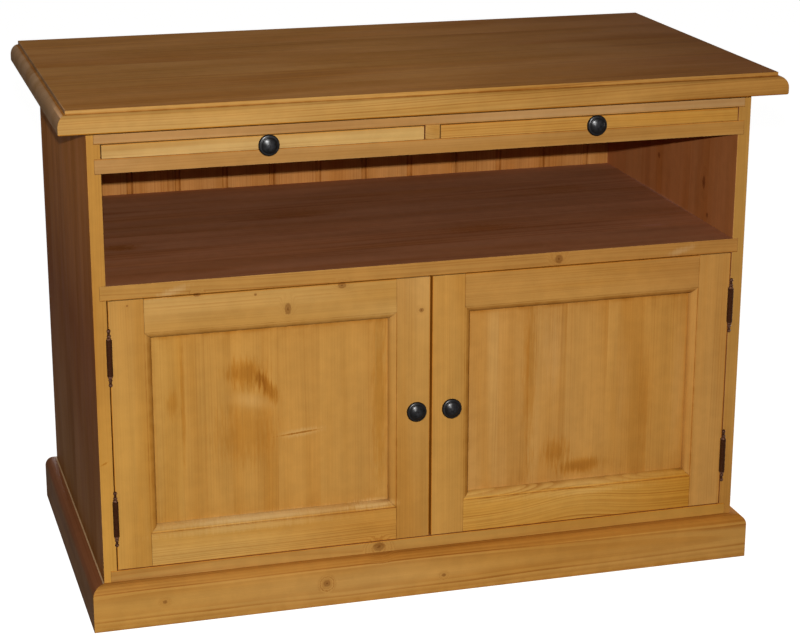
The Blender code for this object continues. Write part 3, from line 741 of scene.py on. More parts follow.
def ease_edges(bm, width, wanted):
    """Sands the wanted sharp edges and marks the new faces as worn."""
    worn = bm.faces.layers.int.get("worn") or bm.faces.layers.int.new("worn")
    sharp = [
        edge
        for edge in bm.edges
        if len(edge.link_faces) == 2
        and edge.is_convex
        and edge.calc_face_angle() > SHARP
        and wanted(edge)
    ]
    made = bmesh.ops.bevel(
        bm,
        geom=sharp,
        offset=width,
        offset_type="OFFSET",
        segments=2,
        profile=0.5,
        affect="EDGES",
        clamp_overlap=True,
        material=-1,
    )
    for face in made["faces"]:
        face[worn] = 1


def saw(bm, axis, places):
    """Cuts new edges into the mesh at places along an axis."""
    normal = Vector((0.0, 0.0, 0.0))
    normal[axis] = 1.0
    for place in places:
        point = normal * place
        geometry = bm.verts[:] + bm.edges[:] + bm.faces[:]
        bmesh.ops.bisect_plane(bm, geom=geometry, dist=MERGE, plane_co=point, plane_no=normal)


def stave_joints(name, low, high, width):
    """Places where a wide board is glued, near one stave width apart."""
    count = max(1, round((high - low) / width))
    draw = random.Random(f"{name} staves")
    pitch = (high - low) / count
    return [low + pitch * (i + draw.uniform(-STAVE_STRAY, STAVE_STRAY)) for i in range(1, count)]


# How far a glued joint strays, as a share of a stave's width
STAVE_STRAY = 0.16
# Where the pith of the log lies from a stave's middle, across its face and through its thickness
FLAT_SAWN = ((0.0, 0.030), (0.022, 0.085))
RIFT_SAWN = ((0.055, 0.120), (0.012, 0.050))
# How strongly the rings show on single boards
VIGOUR = {
    "niche_shelf": 1.2,
    "plinth_front": 1.6,
    "side_panel_left": 0.45,
    "side_panel_right": 0.45,
    "door_left_hinge_stile": 0.45,
    "door_left_meeting_stile": 0.45,
    "door_right_hinge_stile": 0.5,
    "door_right_meeting_stile": 0.5,
    "door_left_bottom_rail": 1.9,
    "door_right_bottom_rail": 1.5,
    "door_left_top_rail": 0.8,
    "door_left_panel": 0.48,
    "door_right_panel": 0.42,
}
# How far the log leans out of a board's length, across its face and through its thickness
LEAN = {
    "top_panel": (0.035, 0.0),
    "niche_shelf": (0.025, 0.0),
    "door_right_bottom_rail": (0.03, 0.02),
}
# Where the grain of a board bows over a lost knot: the place along it, how far the bow reaches and its rise
BOW = {"door_right_bottom_rail": (0.235, 0.085, 0.015)}
# How the staves differ: width of the rings, level and warmth of the colour, strength of the rings
GROWTH = (0.75, 1.40)
LEVEL = (0.965, 1.035)
WARMTH = (-0.03, 0.03)
OWN_VIGOUR = (0.7, 1.3)
LOG_LENGTH = 8.0


def lay_grain(bm, name, run, across, joints=(), tint=FRONT, wax_dirt_and_shade=None, sawn=FLAT_SAWN, vigour=None):
    """Gives each stave its own place in a log and its own tint, and the edges and corners their wear, wax,
    dirt and painted shade.
    """
    grain = bm.loops.layers.float_vector.new("grain")
    tone = bm.loops.layers.float_color.new("tint")
    patina = bm.loops.layers.float_vector.new("patina")
    worn = bm.faces.layers.int.get("worn") or bm.faces.layers.int.new("worn")
    through = 3 - run - across
    low, high = box_of(bm)
    lean = LEAN.get(name, (0.0, 0.0))
    bow_place, bow_reach, rise = BOW.get(name, (0.0, 1.0, 0.0))
    edges = [low[across], *joints, high[across]]
    logs = []
    for i, (start, stop) in enumerate(zip(edges, edges[1:])):
        draw = random.Random(f"{name} stave {i}")
        middles = ((start + stop) / 2, (low[through] + high[through]) / 2)
        pith = [middle + draw.choice((-1, 1)) * draw.uniform(*away) for middle, away in zip(middles, sawn)]
        growth = draw.uniform(*GROWTH)
        level = draw.uniform(*LEVEL)
        warm = draw.uniform(*WARMTH)
        own = (level, level * (1 - warm), level * (1 - 2 * warm), draw.uniform(*OWN_VIGOUR))
        logs.append((draw.uniform(0.0, LOG_LENGTH), pith, growth, own))
    for face in bm.faces:
        centre = face.calc_center_median()
        start, pith, growth, own = logs[bisect.bisect(joints, centre[across])]
        strength = vigour(face.normal) if vigour else VIGOUR.get(name, 1.0)
        for loop in face.loops:
            co = loop.vert.co
            base = tint(face.normal, centre, co) if callable(tint) else tint
            bow = rise * math.exp(-(((co[run] - bow_place) / bow_reach) ** 2))
            out = [
                (co[axis] - heart - slope * co[run] - lift) / growth
                for axis, heart, slope, lift in zip((across, through), pith, lean, (bow, 0.0))
            ]
            loop[grain] = (co[run] + start, *out)
            loop[tone] = [share * mine for share, mine in zip((*base, strength), own)]
            loop[patina] = (face[worn], wax_dirt_and_shade(co, face.normal) if wax_dirt_and_shade else 0.0, 0.0)
    bm.faces.layers.int.remove(worn)


def faded(stops, place):
    """The tint at a place between stops along a board."""
    if len(stops) == 1:
        return stops[0][1]
    at = min(max(1, bisect.bisect([stop[0] for stop in stops], place)), len(stops) - 1)
    (start, low), (end, high) = stops[at - 1], stops[at]
    share = min(1.0, max(0.0, (place - start) / (end - start)))
    return [a + share * (b - a) for a, b in zip(low, high)]


def waxed(base, away):
    """A tint, coloured by the old wax of a joint that is this far away and by painted warm bounce light in
    the joint's shade.
    """
    near = max(0.0, 1.0 - away / SEAM_MARGIN)
    return [share * (1.0 + near * (wax - 1.0)) for share, wax in zip(base, SEAM_WAX_AND_BOUNCE)]


# Collections that some lamps are kept to: all pieces for those behind, and the knobs for the high one
ALL_PIECES = "sideboard_pieces"
ALL_KNOBS = "sideboard_knobs"


def pieces_lit(name):
    return bpy.data.collections.get(name) or bpy.data.collections.new(name)


def finish_piece(name, bm, body, surface, nodes=(), smooth=True, even=True):
    """The finished object of a bmesh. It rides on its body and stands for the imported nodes."""
    mesh = bpy.data.meshes.new(name)
    bm.to_mesh(mesh)
    bm.free()
    # Normals that came with a packed board don't suit its eased edges
    stored = mesh.attributes.get("custom_normal")
    if stored:
        mesh.attributes.remove(stored)
    if smooth:
        mesh.shade_smooth()
        mesh.set_sharp_from_angle(angle=CREASE)
    mesh.materials.append(surface)
    made = bpy.data.objects.new(name, mesh)
    bpy.context.scene.collection.objects.link(made)
    pieces_lit(ALL_PIECES).objects.link(made)
    if smooth and even:
        normals = made.modifiers.new("even_normals", "WEIGHTED_NORMAL")
        normals.keep_sharp = True
    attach(made, body)
    if nodes:
        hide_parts(*nodes)
    return made


def finish_board(node, bm, body):
    finish_piece(f"{node}_pine", bm, body, pine("waxed_pine_board", 0.5), [node])


def board(
    node,
    body,
    run,
    across,
    joints=(),
    tint=FRONT,
    wax_dirt_and_shade=None,
    wanted=None,
    ease=None,
    sawn=FLAT_SAWN,
    cuts=(),
):
    """A packed board with sanded edges and its grain. Cuts, as (axis, places), let its tint change."""
    wood = bpy.context.scene.sideboard_pine
    bm = node_copy(node)
    ease_edges(bm, ease or wood.ease, wanted or on_box_edge(bm))
    for axis, places in ((across, joints), *cuts):
        saw(bm, axis, places)
    bm.normal_update()
    lay_grain(bm, node, run, across, joints, tint, wax_dirt_and_shade, sawn)
    finish_board(node, bm, body)


def join_into(bm, other):
    """Adds another bmesh to this one and frees it."""
    mesh = bpy.data.meshes.new("joined")
    other.to_mesh(mesh)
    other.free()
    bm.from_mesh(mesh)
    bpy.data.meshes.remove(mesh)


def face_outwards(bm):
    """Turns all faces of a closed mesh outwards."""
    bmesh.ops.recalc_face_normals(bm, faces=bm.faces)
    if bm.calc_volume(signed=True) < 0:
        bmesh.ops.reverse_faces(bm, faces=bm.faces)


def push_faces(bm, faces):
    """Extrudes faces out of a closed mesh and returns the new faces and points, still in the old place."""
    pushed = bmesh.ops.extrude_face_region(bm, geom=faces)["geom"]
    bmesh.ops.delete(bm, geom=[face for face in faces if face.is_valid], context="FACES_ONLY")
    made = [item for item in pushed if isinstance(item, bmesh.types.BMFace)]
    return made, [item for item in pushed if isinstance(item, bmesh.types.BMVert)]


def quarter(width, height, steps):
    """A convex quarter of an ellipse, from its crown outwards and down."""
    turns = [math.pi / 2 * i / steps for i in range(steps + 1)]
    return [(width * math.sin(a), -height * (1 - math.cos(a))) for a in turns]


def extruded(outline, place, start, stop, mitre):
    """A bmesh of an outline, extruded from start to stop. Mitre says how far a point draws in at each end."""
    bm = bmesh.new()
    near = [bm.verts.new(place(u, v, start + mitre(u, v)[0])) for u, v in outline]
    bm.faces.new(near)
    pushed = bmesh.ops.extrude_face_region(bm, geom=bm.faces[:])["geom"]
    ends = {tuple(vert.co): place(u, v, stop - mitre(u, v)[1]) for vert, (u, v) in zip(near, outline)}
    for vert in (item for item in pushed if isinstance(item, bmesh.types.BMVert)):
        vert.co = ends[tuple(vert.co)]
    bmesh.ops.recalc_face_normals(bm, faces=bm.faces)
    return bm


def facing(direction):
    """The turn that takes +Z to a direction."""
    return Vector((0.0, 0.0, 1.0)).rotation_difference(Vector(direction)).to_matrix().to_4x4()


def turned(profile, centre, axis, steps):
    """A bmesh of a profile of (radius, height) points from the tip down, spun about its axis."""
    bm = bmesh.new()
    verts = [bm.verts.new((radius, 0.0, height)) for radius, height in profile]
    edges = [bm.edges.new(pair) for pair in zip(verts, verts[1:])]
    bmesh.ops.spin(
        bm,
        geom=verts + edges,
        cent=(0.0, 0.0, 0.0),
        axis=(0.0, 0.0, 1.0),
        dvec=(0.0, 0.0, 0.0),
        angle=math.tau,
        steps=steps,
        use_merge=True,
        use_duplicate=False,
    )
    bmesh.ops.remove_doubles(bm, verts=bm.verts, dist=MERGE)
    bmesh.ops.recalc_face_normals(bm, faces=bm.faces)
    bmesh.ops.transform(bm, matrix=Matrix.Translation(centre) @ facing(axis), verts=bm.verts)
    return bm


def flowing(points, steps):
    """A smooth line through the points, which keep their places."""
    line = []
    ends = [points[0], *points, points[-1]]
    for a, b, c, d in zip(ends, ends[1:], ends[2:], ends[3:]):
        for i in range(steps):
            t = i / steps
            line.append(
                tuple(
                    q + 0.5 * t * (r - p + t * (2 * p - 5 * q + 4 * r - s + t * (3 * (q - r) + s - p)))
                    for p, q, r, s in zip(a, b, c, d)
                )
            )
    return line + [points[-1]]


def rub_points(bm, share):
    """Stores how much each point of a fitting is rubbed, and on a knob's crown its painted shine."""
    layer = bm.verts.layers.float.new("rub")
    for vert in bm.verts:
        vert[layer] = share(vert.co)


# Foot of the fillet over the top's ovolo, how far painted shade with wax spreads from it, and the width of
# the top's staves
FILLET_FOOT = 0.0012
FILLET_SHADE_AND_WAX = 0.0013
TOP_STAVE = 0.11
# How strongly the rings show on the top's moulded ends and front
TOP_END_VIGOUR = 0.6
TOP_EDGE_VIGOUR = 1.9


class SIDEBOARD_OT_top(Operator):
    """Make the top board with its moulded front and ends"""

    bl_idname = "sideboard.top"
    bl_label = "Top board"

    def execute(self, context):
        sizes = context.scene.sideboard_mouldings
        wood = context.scene.sideboard_pine
        thickness = TOP_HIGH.z - TOP_LOW.z
        crown = thickness - sizes.top_step
        arris = wood.ease
        edge = [
            (sizes.top_under_round - out, -rise)
            for out, rise in quarter(sizes.top_under_round, sizes.top_under_round, 5)
        ]
        ovolo = quarter(sizes.top_ovolo_width, sizes.top_ovolo_height, sizes.steps)
        edge += [(sizes.top_ovolo_width - out, crown + drop) for out, drop in reversed(ovolo)]
        edge += [(sizes.top_ovolo_width, crown + FILLET_FOOT), (sizes.top_ovolo_width, thickness - arris)]
        edge += [(sizes.top_ovolo_width + 0.3 * arris, thickness - 0.3 * arris)]
        edge += [(sizes.top_ovolo_width + arris, thickness)]

        def corner(co, inset, height):
            half = TOP_HIGH.x - inset
            y = TOP_HIGH.y if co.y > 0 else TOP_LOW.y + inset
            return (math.copysign(half, co.x), y, TOP_LOW.z + height)

        bm = bmesh.new()
        bmesh.ops.create_cube(bm, size=1.0)
        bm.normal_update()
        faces = [face for face in bm.faces if face.normal.z > 0.9]
        for vert in bm.verts:
            vert.co = corner(vert.co, *edge[1 if vert.co.z > 0 else 0])
        for level in edge[2:]:
            faces, verts = push_faces(bm, faces)
            for vert in verts:
                vert.co = corner(vert.co, *level)
        bmesh.ops.recalc_face_normals(bm, faces=bm.faces)
        root = TOP_LOW.z + crown

        # The crease at the fillet's foot is painted dark: shade with old wax
        def wax_dirt_and_shade(co, normal):
            return max(0.0, 1.0 - abs(co.z - root) / FILLET_SHADE_AND_WAX) if normal.z < 0.98 else 0.0

        joints = stave_joints("top", TOP_LOW.y, TOP_HIGH.y, TOP_STAVE)
        saw(bm, Y, joints)

        def tint(normal, centre, co):
            """The flat and the front moulding are painted darker to the right, as shade where the light falls
            off, and the ends are greyer.
            """
            moulding = TOP_END if abs(normal.x) > 0.3 else TOP_MOULDING
            # The underside is coloured all over like a joint: old wax with painted warm bounce light in its
            # shade
            under = 0.0 if normal.z < -0.3 else 1.0
            return waxed(faded(TOP_FLAT if normal.z > 0.95 else moulding, co.x), under)

        def vigour(normal):
            """The moulded front cuts the rings slantwise and shows them more than the ends do."""
            if abs(normal.x) > 0.3:
                return TOP_END_VIGOUR
            return TOP_EDGE_VIGOUR if normal.z < 0.95 else 1.0

        saw(bm, X, (0.0,))
        bm.normal_update()
        lay_grain(bm, "top_panel", X, Y, joints, tint, wax_dirt_and_shade, vigour=vigour)
        finish_piece("top_panel_pine", bm, "carcass", pine("waxed_pine_top", 0.45), ["top_panel"])
        return {"FINISHED"}


def cross_tint(left, right, inside, seams=()):
    """Cross boards' front edges fade from the left to the right tint, with old wax and painted warm bounce
    light along their closed joints, and are darker inside.
    """
    edge = ((-INNER_HALF, left), (INNER_HALF, right))

    def tint(normal, centre, co):
        if normal.y > -0.3:
            return inside if normal.z > 0 else INSIDE
        return waxed(faded(edge, co.x), min((abs(co.z - seam) for seam in seams), default=1.0))

    return tint


# A face this near to the outside belongs to it
EDGE_DEPTH = 0.0008


def side_tint(normal, centre, co):
    """A side's front edge, its raw rear edge, its outer face, which is painted in shade, and its inside."""
    label = "left" if centre.x < 0 else "right"
    if normal.y < -0.5:
        return faded(POST_TINT[label], co.z)
    if normal.y > 0.5 and centre.y > BACK_Y - EDGE_DEPTH:
        return RAW_REAR
    return faded(SHADED_OUTER_SIDE[label], co.z) if abs(centre.x) > CARCASS_HALF - EDGE_DEPTH else INSIDE


# Tints of the front edge's left and right end and of the upper face, and which of its edges are closed
UNDER, OVER = 0, 1
CROSS_BOARDS = {
    "cupboard_floor": ((1.0, 1.07, 1.34), (0.96, 0.94, 0.80), INSIDE, (UNDER, OVER)),
    "cupboard_shelf": (INSIDE, INSIDE, INSIDE, ()),
    "niche_shelf": ((0.95, 0.98, 1.10), (0.88, 0.82, 0.88), NICHE_FLOOR, (UNDER,)),
    "slide_deck": ((0.866, 0.93, 1.42), (0.88, 0.92, 1.13), INSIDE, (OVER,)),
    "sub_top": ((0.95, 1.06, 1.90), (0.94, 1.04, 1.80), INSIDE, (UNDER, OVER)),
}
DIVIDER_TINT = (1.02, 1.08, 1.30)


def along_x(edge):
    """A test for edges that run the length of a cross board. Its ends sit tight in their housings."""
    start, stop = (vert.co for vert in edge.verts)
    return abs(start.x - stop.x) > 0.1


class SIDEBOARD_OT_carcass(Operator):
    """Make the sides, the cross boards and the divider"""

    bl_idname = "sideboard.carcass"
    bl_label = "Carcass boards"

    def execute(self, context):
        width = context.scene.sideboard_pine.stave_width
        for label in SIDES:
            node = f"side_panel_{label}"
            heights = [stop[0] for stop in SHADED_OUTER_SIDE[label]]
            low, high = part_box(node)
            joints = stave_joints(node, low.y, high.y, width)
            board(node, "carcass", Z, Y, joints, side_tint, cuts=((Z, heights),))
        for node, (left, right, inside, closed) in CROSS_BOARDS.items():
            low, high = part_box(node)
            seams = [(low.z, high.z)[at] for at in closed]
            tint = cross_tint(left, right, inside, seams)
            cuts = ((Z, [(low.z + SEAM_MARGIN, high.z - SEAM_MARGIN)[at] for at in closed]),)
            joints = stave_joints(node, low.y, high.y, width)
            board(node, "carcass", X, Y, joints, tint, wanted=along_x, cuts=cuts)
        board("slide_divider", "carcass", Y, X, (), cross_tint(DIVIDER_TINT, DIVIDER_TINT, INSIDE))
        return {"FINISHED"}


# The bead on a back board's left edge and the quirk beside it
BEAD_WIDTH = 0.009
QUIRK_DEPTH = 0.0014
# A nail's head as (share of its radius, height), where nails sit across a board, and how far they stray
NAIL_HEAD = ((0.0, 0.00035), (0.6, 0.0003), (1.0, 0.0001), (1.0, -0.0015), (0.0, -0.0015))
NAIL_PLACES = (0.28, 0.72)
NAIL_STRAY = 0.004
NAIL_STEPS = 12


def back_tint(normal, centre, co):
    """The back is waxed in the niche and left raw behind."""
    return RAW_REAR if normal.y > 0.5 else NICHE_BACK


class SIDEBOARD_OT_back(Operator):
    """Make the beaded matchboards of the back and their nails"""

    bl_idname = "sideboard.back"
    bl_label = "Matchboard back"

    def execute(self, context):
        radius = context.scene.sideboard_fittings.nail_radius
        boards = sorted(node for node in frame["nodes"] if node.startswith("back_board_"))
        rows = [middle_of(node).z for node in CROSS_BOARDS]
        head = [(share * radius, height) for share, height in NAIL_HEAD]
        nails = bmesh.new()
        for node in boards:
            low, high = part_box(node)
            bead = low.x + BEAD_WIDTH if node != boards[0] else -math.inf

            def wax_dirt_and_shade(co, normal, front=low.y, bead=bead):
                """Wax lies in the quirks and dulls the bead."""
                if normal.y > 0.2:
                    return 0.0
                return max(0.4 if co.x < bead else 0.0, min(1.0, (co.y - front) / QUIRK_DEPTH))

            board(node, "carcass", Z, X, (), back_tint, wax_dirt_and_shade, sawn=RIFT_SAWN)
            draw = random.Random(f"{node} nails")
            for z in rows:
                for share in NAIL_PLACES:
                    x = low.x + (high.x - low.x) * share + draw.uniform(-NAIL_STRAY, NAIL_STRAY)
                    join_into(nails, turned(head, (x, BACK_Y, z), (0.0, 1.0, 0.0), NAIL_STEPS))
        rub_points(nails, lambda co: 0.5)
        finish_piece("back_nails_steel", nails, "carcass", steel())
        return {"FINISHED"}


# The strip on the plinth's flat that is painted pale as a glint, the dirt at its foot and its strength, and
# the painted shade with wax in its corner
GLINT_WIDTH = 0.0022
FOOT_DIRT = 0.012
PLINTH_DIRT = 0.45
CORNER_SHADE_AND_WAX = 0.0025


class SIDEBOARD_OT_plinth(Operator):
    """Make the three mitred lengths of the plinth moulding"""

    bl_idname = "sideboard.plinth"
    bl_label = "Plinth"

    def execute(self, context):
        sizes = context.scene.sideboard_mouldings
        ease = context.scene.sideboard_pine.ease
        low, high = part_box("plinth_front")
        inner = FRONT_Y - high.y
        thickness = FRONT_Y - low.y
        height = high.z
        ovolo = quarter(thickness - sizes.plinth_flat, sizes.plinth_ovolo_height, sizes.steps)
        outline = [(inner, 0.0), (inner, height), (inner + GLINT_WIDTH, height)]
        outline += [(sizes.plinth_flat + out, height + drop) for out, drop in ovolo]
        outline += [(thickness, ease), (thickness - 0.3 * ease, 0.3 * ease), (thickness - ease, 0.0)]
        seat = CARCASS_HALF - inner

        def front(out, z, x):
            return (x, FRONT_Y - out, z)

        bm = extruded(outline, front, -seat, seat, lambda out, z: (-out, -out))
        face_height = height - sizes.plinth_ovolo_height
        self.lay(bm, "plinth_front", X, face_height)
        for label, side in SIDES.items():

            def end(out, z, y, side=side):
                return (side * (CARCASS_HALF + out), y, z)

            bm = extruded(outline, end, FRONT_Y, BACK_Y, lambda out, z: (-out, 0.0))
            self.lay(bm, f"plinth_{label}", Y, face_height)
        return {"FINISHED"}

    @staticmethod
    def lay(bm, node, run, face_height):
        saw(bm, Z, (FOOT_DIRT,))
        if run == X:
            saw(bm, X, [stop[0] for stop in PLINTH_FACE[X]])

        def away(co):
            return max(FRONT_Y - co.y, abs(co.x) - CARCASS_HALF)

        def tint(normal, centre, co):
            """The ovolo is tinted darker than the face, and the ends are painted in shade. The left end's
            flat is painted pale along the carcass, as a glint.
            """
            if run == Y and centre.x < 0 and normal.z > 0.9 and away(centre) < GLINT_WIDTH:
                return PLINTH_GLINT
            return faded((PLINTH_OVOLO if normal.z > 0.25 else PLINTH_FACE)[run], co.x)

        def wax_dirt_and_shade(co, normal):
            """Dirt has gathered at the front's foot. The flat along the carcass is painted as shade with wax,
            and the ends' faces are darker towards their top.
            """
            if run == Y:
                return 0.0 if normal.z > 0.25 else PLINTH_DIRT * min(1.0, co.z / face_height)
            if normal.z > 0.9:
                return max(0.0, 1.0 - away(co) / CORNER_SHADE_AND_WAX)
            return PLINTH_DIRT * max(0.0, 1.0 - co.z / FOOT_DIRT)

        bm.normal_update()
        lay_grain(bm, node, run, Z, (), tint, wax_dirt_and_shade)
        finish_board(node, bm, "carcass")


# Width of the moulding on the door frames, and how far its painted shade line with wax spreads from its outer
# line
STICKING = 0.0105
LINE_REACH = 0.0013
# How strongly painted shade with old wax shows along that line, on the side turned from the light and more in
# its depth, and on the lit side
LINE_SHADE_AND_WAX = 0.62
TURNED_SHADE_AND_WAX = 0.42
DEPTH_SHADE_AND_WAX = 0.30
LIT_SHADE_AND_WAX = 0.05
# Depth of the frames' eased edges, which stay free of it
ARRIS = 0.0004
# The edge of a panel that is hidden in the grooves of its frame
PANEL_HIDDEN = 0.0072
# Painted shadow with wax at the panels' left, right, lower and upper edges, strongest under the upper rail:
# its strength, its reach, and its faint bloom
PANEL_SHADOW_AND_WAX = ((0.45, 0.004, 0.14), (0.20, 0.003, 0.0), (0.20, 0.003, 0.18), (0.80, 0.007, 0.24))
PANEL_BLOOM = 0.03
# What the light from above does to the tint of a rail's moulding
LEDGE = (0.88, 0.90, 1.02)
PANEL_STAVES = {
    "left": (-0.3652, -0.2942, -0.2266, -0.1641, -0.0812),
    "right": (0.1080, 0.1560, 0.2150, 0.2800, 0.3480),
}
# Stops along z for stiles and along x for rails and panels
DOOR_TINTS = {
    "left": {
        "hinge_stile": ((0.10, (1.15, 1.14, 1.08)), (0.30, (1.07, 1.06, 1.02)), (0.48, (1.07, 1.08, 1.20))),
        "meeting_stile": ((0.20, (1.01, 1.0, 1.04)), (0.38, (1.04, 1.06, 1.17)), (0.47, (1.08, 1.14, 1.46))),
        "top_rail": ((0.0, (1.05, 1.14, 1.46)),),
        "bottom_rail": ((-0.30, (1.18, 1.32, 1.58)), (-0.10, (1.12, 1.07, 0.94))),
        "panel": ((-0.40, (1.06, 1.09, 1.11)), (-0.08, (1.03, 1.02, 1.06))),
    },
    "right": {
        "hinge_stile": ((0.20, (1.15, 1.16, 1.36)), (0.48, (1.04, 1.03, 1.17))),
        "meeting_stile": ((0.30, (1.06, 1.06, 1.08)), (0.48, (1.02, 1.02, 1.08))),
        "top_rail": ((0.10, (0.98, 0.97, 1.06)), (0.25, (1.05, 1.05, 1.14)), (0.40, (0.91, 0.87, 0.97))),
        "bottom_rail": ((0.08, (1.26, 1.30, 1.20)), (0.25, (1.18, 1.18, 1.05)), (0.42, (1.06, 0.91, 0.48))),
        "panel": ((0.10, (1.12, 1.18, 1.52)), (0.36, (1.06, 1.0, 0.95))),
    },
}


def stile_tint(face, middle, outer):
    """A stile's outer edge, in the gap away from the door's middle, is painted as shade with warm bounce
    light, and its face beside that edge has old wax and painted bounce light.
    """

    def tint(normal, centre, co):
        outward = normal.x if centre.x > middle else -normal.x
        return DOOR_EDGE_SHADE if outward > 0.3 else waxed(faded(face, co.z), abs(co.x - outer))

    return tint


def rail_tint(face, outer):
    """A rail has old wax and painted warm bounce light along its outer edge, and its moulding is painted
    greyer where it faces up, for the light from above.
    """

    def tint(normal, centre, co):
        base = faded(face, co.x)
        if normal.z > 0.2:
            base = [share * grey for share, grey in zip(base, LEDGE)]
        return waxed(base, abs(co.z - outer))

    return tint


def moulded(axis, line):
    """Painted shade with old wax in a moulding's depth, more where it is turned from the light, and along its
    outer line.
    """
    recess = PANEL_Y - FRONT_Y

    def wax_dirt_and_shade(co, normal):
        if normal.y > 0.5:
            return 0.0
        depth = min(1.0, max(0.0, (co.y - FRONT_Y - ARRIS) / recess))
        turned_away = normal.x > 0.2 or normal.z < -0.2
        spread = LINE_SHADE_AND_WAX * (1.0 - abs(co[axis] - line) / LINE_REACH)
        return max(TURNED_SHADE_AND_WAX + DEPTH_SHADE_AND_WAX * depth if turned_away else LIT_SHADE_AND_WAX * depth, spread)

    return wax_dirt_and_shade


class SIDEBOARD_OT_doors(Operator):
    """Make the framed doors: stiles, rails and glued panels"""

    bl_idname = "sideboard.doors"
    bl_label = "Doors"

    def execute(self, context):
        ease = context.scene.sideboard_pine.joint_ease
        for label in SIDES:
            body = f"door_{label}"
            middle = middle_of(f"{body}_panel")
            for kind in ("hinge_stile", "meeting_stile", "top_rail", "bottom_rail"):
                node = f"{body}_{kind}"
                face = DOOR_TINTS[label][kind]
                run, across = (Z, X) if kind.endswith("stile") else (X, Z)
                low, high = (corner[across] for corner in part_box(node))
                far = (low + high) / 2 > middle[across]
                outer, inner, inward = (high, low, -1) if far else (low, high, 1)
                tint = rail_tint(face, outer) if run == X else stile_tint(face, middle.x, outer)
                line = inner - inward * STICKING
                seams = (outer + inward * SEAM_MARGIN, line - LINE_REACH, line + LINE_REACH)
                stops = [stop[0] for stop in face]
                if node in BOW:
                    place, reach, rise = BOW[node]
                    stops += [place + reach * i / 5 for i in range(-9, 10)]
                cuts = ((across, seams), (run, stops))
                wax_dirt_and_shade = moulded(across, line)
                board(node, body, run, across, (), tint, wax_dirt_and_shade, on_door_face, ease, RIFT_SAWN, cuts)
            self.panel(label, body)
        return {"FINISHED"}

    @staticmethod
    def panel(label, body):
        """A flat panel of staves, with painted shadow and wax in the corners along its frame."""
        node = f"{body}_panel"
        low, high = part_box(node)
        ends = [(axis, low[axis] + PANEL_HIDDEN, high[axis] - PANEL_HIDDEN) for axis in (X, Z)]
        bm = node_copy(node)
        joints = PANEL_STAVES[label]
        saw(bm, X, joints)
        for (axis, start, stop), near, far in zip(ends, PANEL_SHADOW_AND_WAX[::2], PANEL_SHADOW_AND_WAX[1::2]):
            saw(bm, axis, (start, start + near[1], start + PANEL_BLOOM))
            saw(bm, axis, (stop, stop - far[1], stop - PANEL_BLOOM))
        bm.normal_update()

        def wax_dirt_and_shade(co, normal):
            gaps = [gap for axis, start, stop in ends for gap in (co[axis] - start, stop - co[axis])]
            edges = [0.0]
            for gap, (strength, reach, bloom) in zip(gaps, PANEL_SHADOW_AND_WAX):
                edges += [strength * (1 - gap / reach), bloom * (1 - gap / PANEL_BLOOM)]
            return min(1.0, max(edges))

        def tint(normal, centre, co):
            return faded(DOOR_TINTS[label]["panel"], co.x)

        lay_grain(bm, node, Z, X, joints, tint, wax_dirt_and_shade, RIFT_SAWN)
        finish_board(node, bm, body)


PEG_EASE = 0.0012


class SIDEBOARD_OT_slides(Operator):
    """Make the pull-out slides and their stop pegs"""

    bl_idname = "sideboard.slides"
    bl_label = "Slides"

    def execute(self, context):
        width = context.scene.sideboard_pine.stave_width
        for label in SIDES:
            body = f"slide_{label}"
            node = f"{body}_board"
            low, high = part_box(node)
            joints = stave_joints(node, low.y, high.y, width)

            # The front's upper edge takes a joint's old wax and painted warm bounce light
            def tint(normal, centre, co, stops=SLIDE_TINT[label], upper=high.z):
                return waxed(faded(stops, co.x), abs(co.z - upper) if normal.y < -0.3 else 1.0)

            board(node, body, X, Y, joints, tint, cuts=((Z, (high.z - SEAM_MARGIN,)),))
            board(f"{body}_stop", body, Z, X, (), INSIDE, ease=PEG_EASE)
        return {"FINISHED"}


# A knob's foot, and its rubbed rim and how far the rubbing reaches, as shares of its radius
KNOB_FOOT = 0.47
RUBBED_RIM = 0.86
RIM_REACH = 0.08
# Where the rim starts, as a share of the knob's length, and how much it is rubbed
RIM_FOOT = 0.7
RIM_RUB = 0.75


def knob_profile(radius, length, foot):
    """A mushroom knob from its crown down: a low dome, a step, a rolled rim, a waist and a foot."""
    edge = math.radians(43)
    dome_radius = 0.72 * radius / math.sin(edge)
    slopes = [edge * i / 12 for i in range(13)]
    dome = [(dome_radius * math.sin(a), length - dome_radius * (1 - math.cos(a))) for a in slopes]
    step = [(0.730, 0.812), (0.745, 0.806)]
    rim = [(0.80, 0.805), (0.87, 0.797), (0.93, 0.778), (0.975, 0.742), (1.0, 0.69), (0.99, 0.64)]
    waist = [(0.95, 0.585), (0.72, 0.485), (0.50, 0.39), (0.39, 0.28), (0.37, 0.18), (0.40, 0.10)]
    base = [(0.96 * foot / radius, 0.066), (foot / radius, 0.05)]
    body = step + flowing(rim + waist + base, 3)
    return dome + [(r * radius, share * length) for r, share in body] + [(foot, 0.0), (0.0, 0.0)]


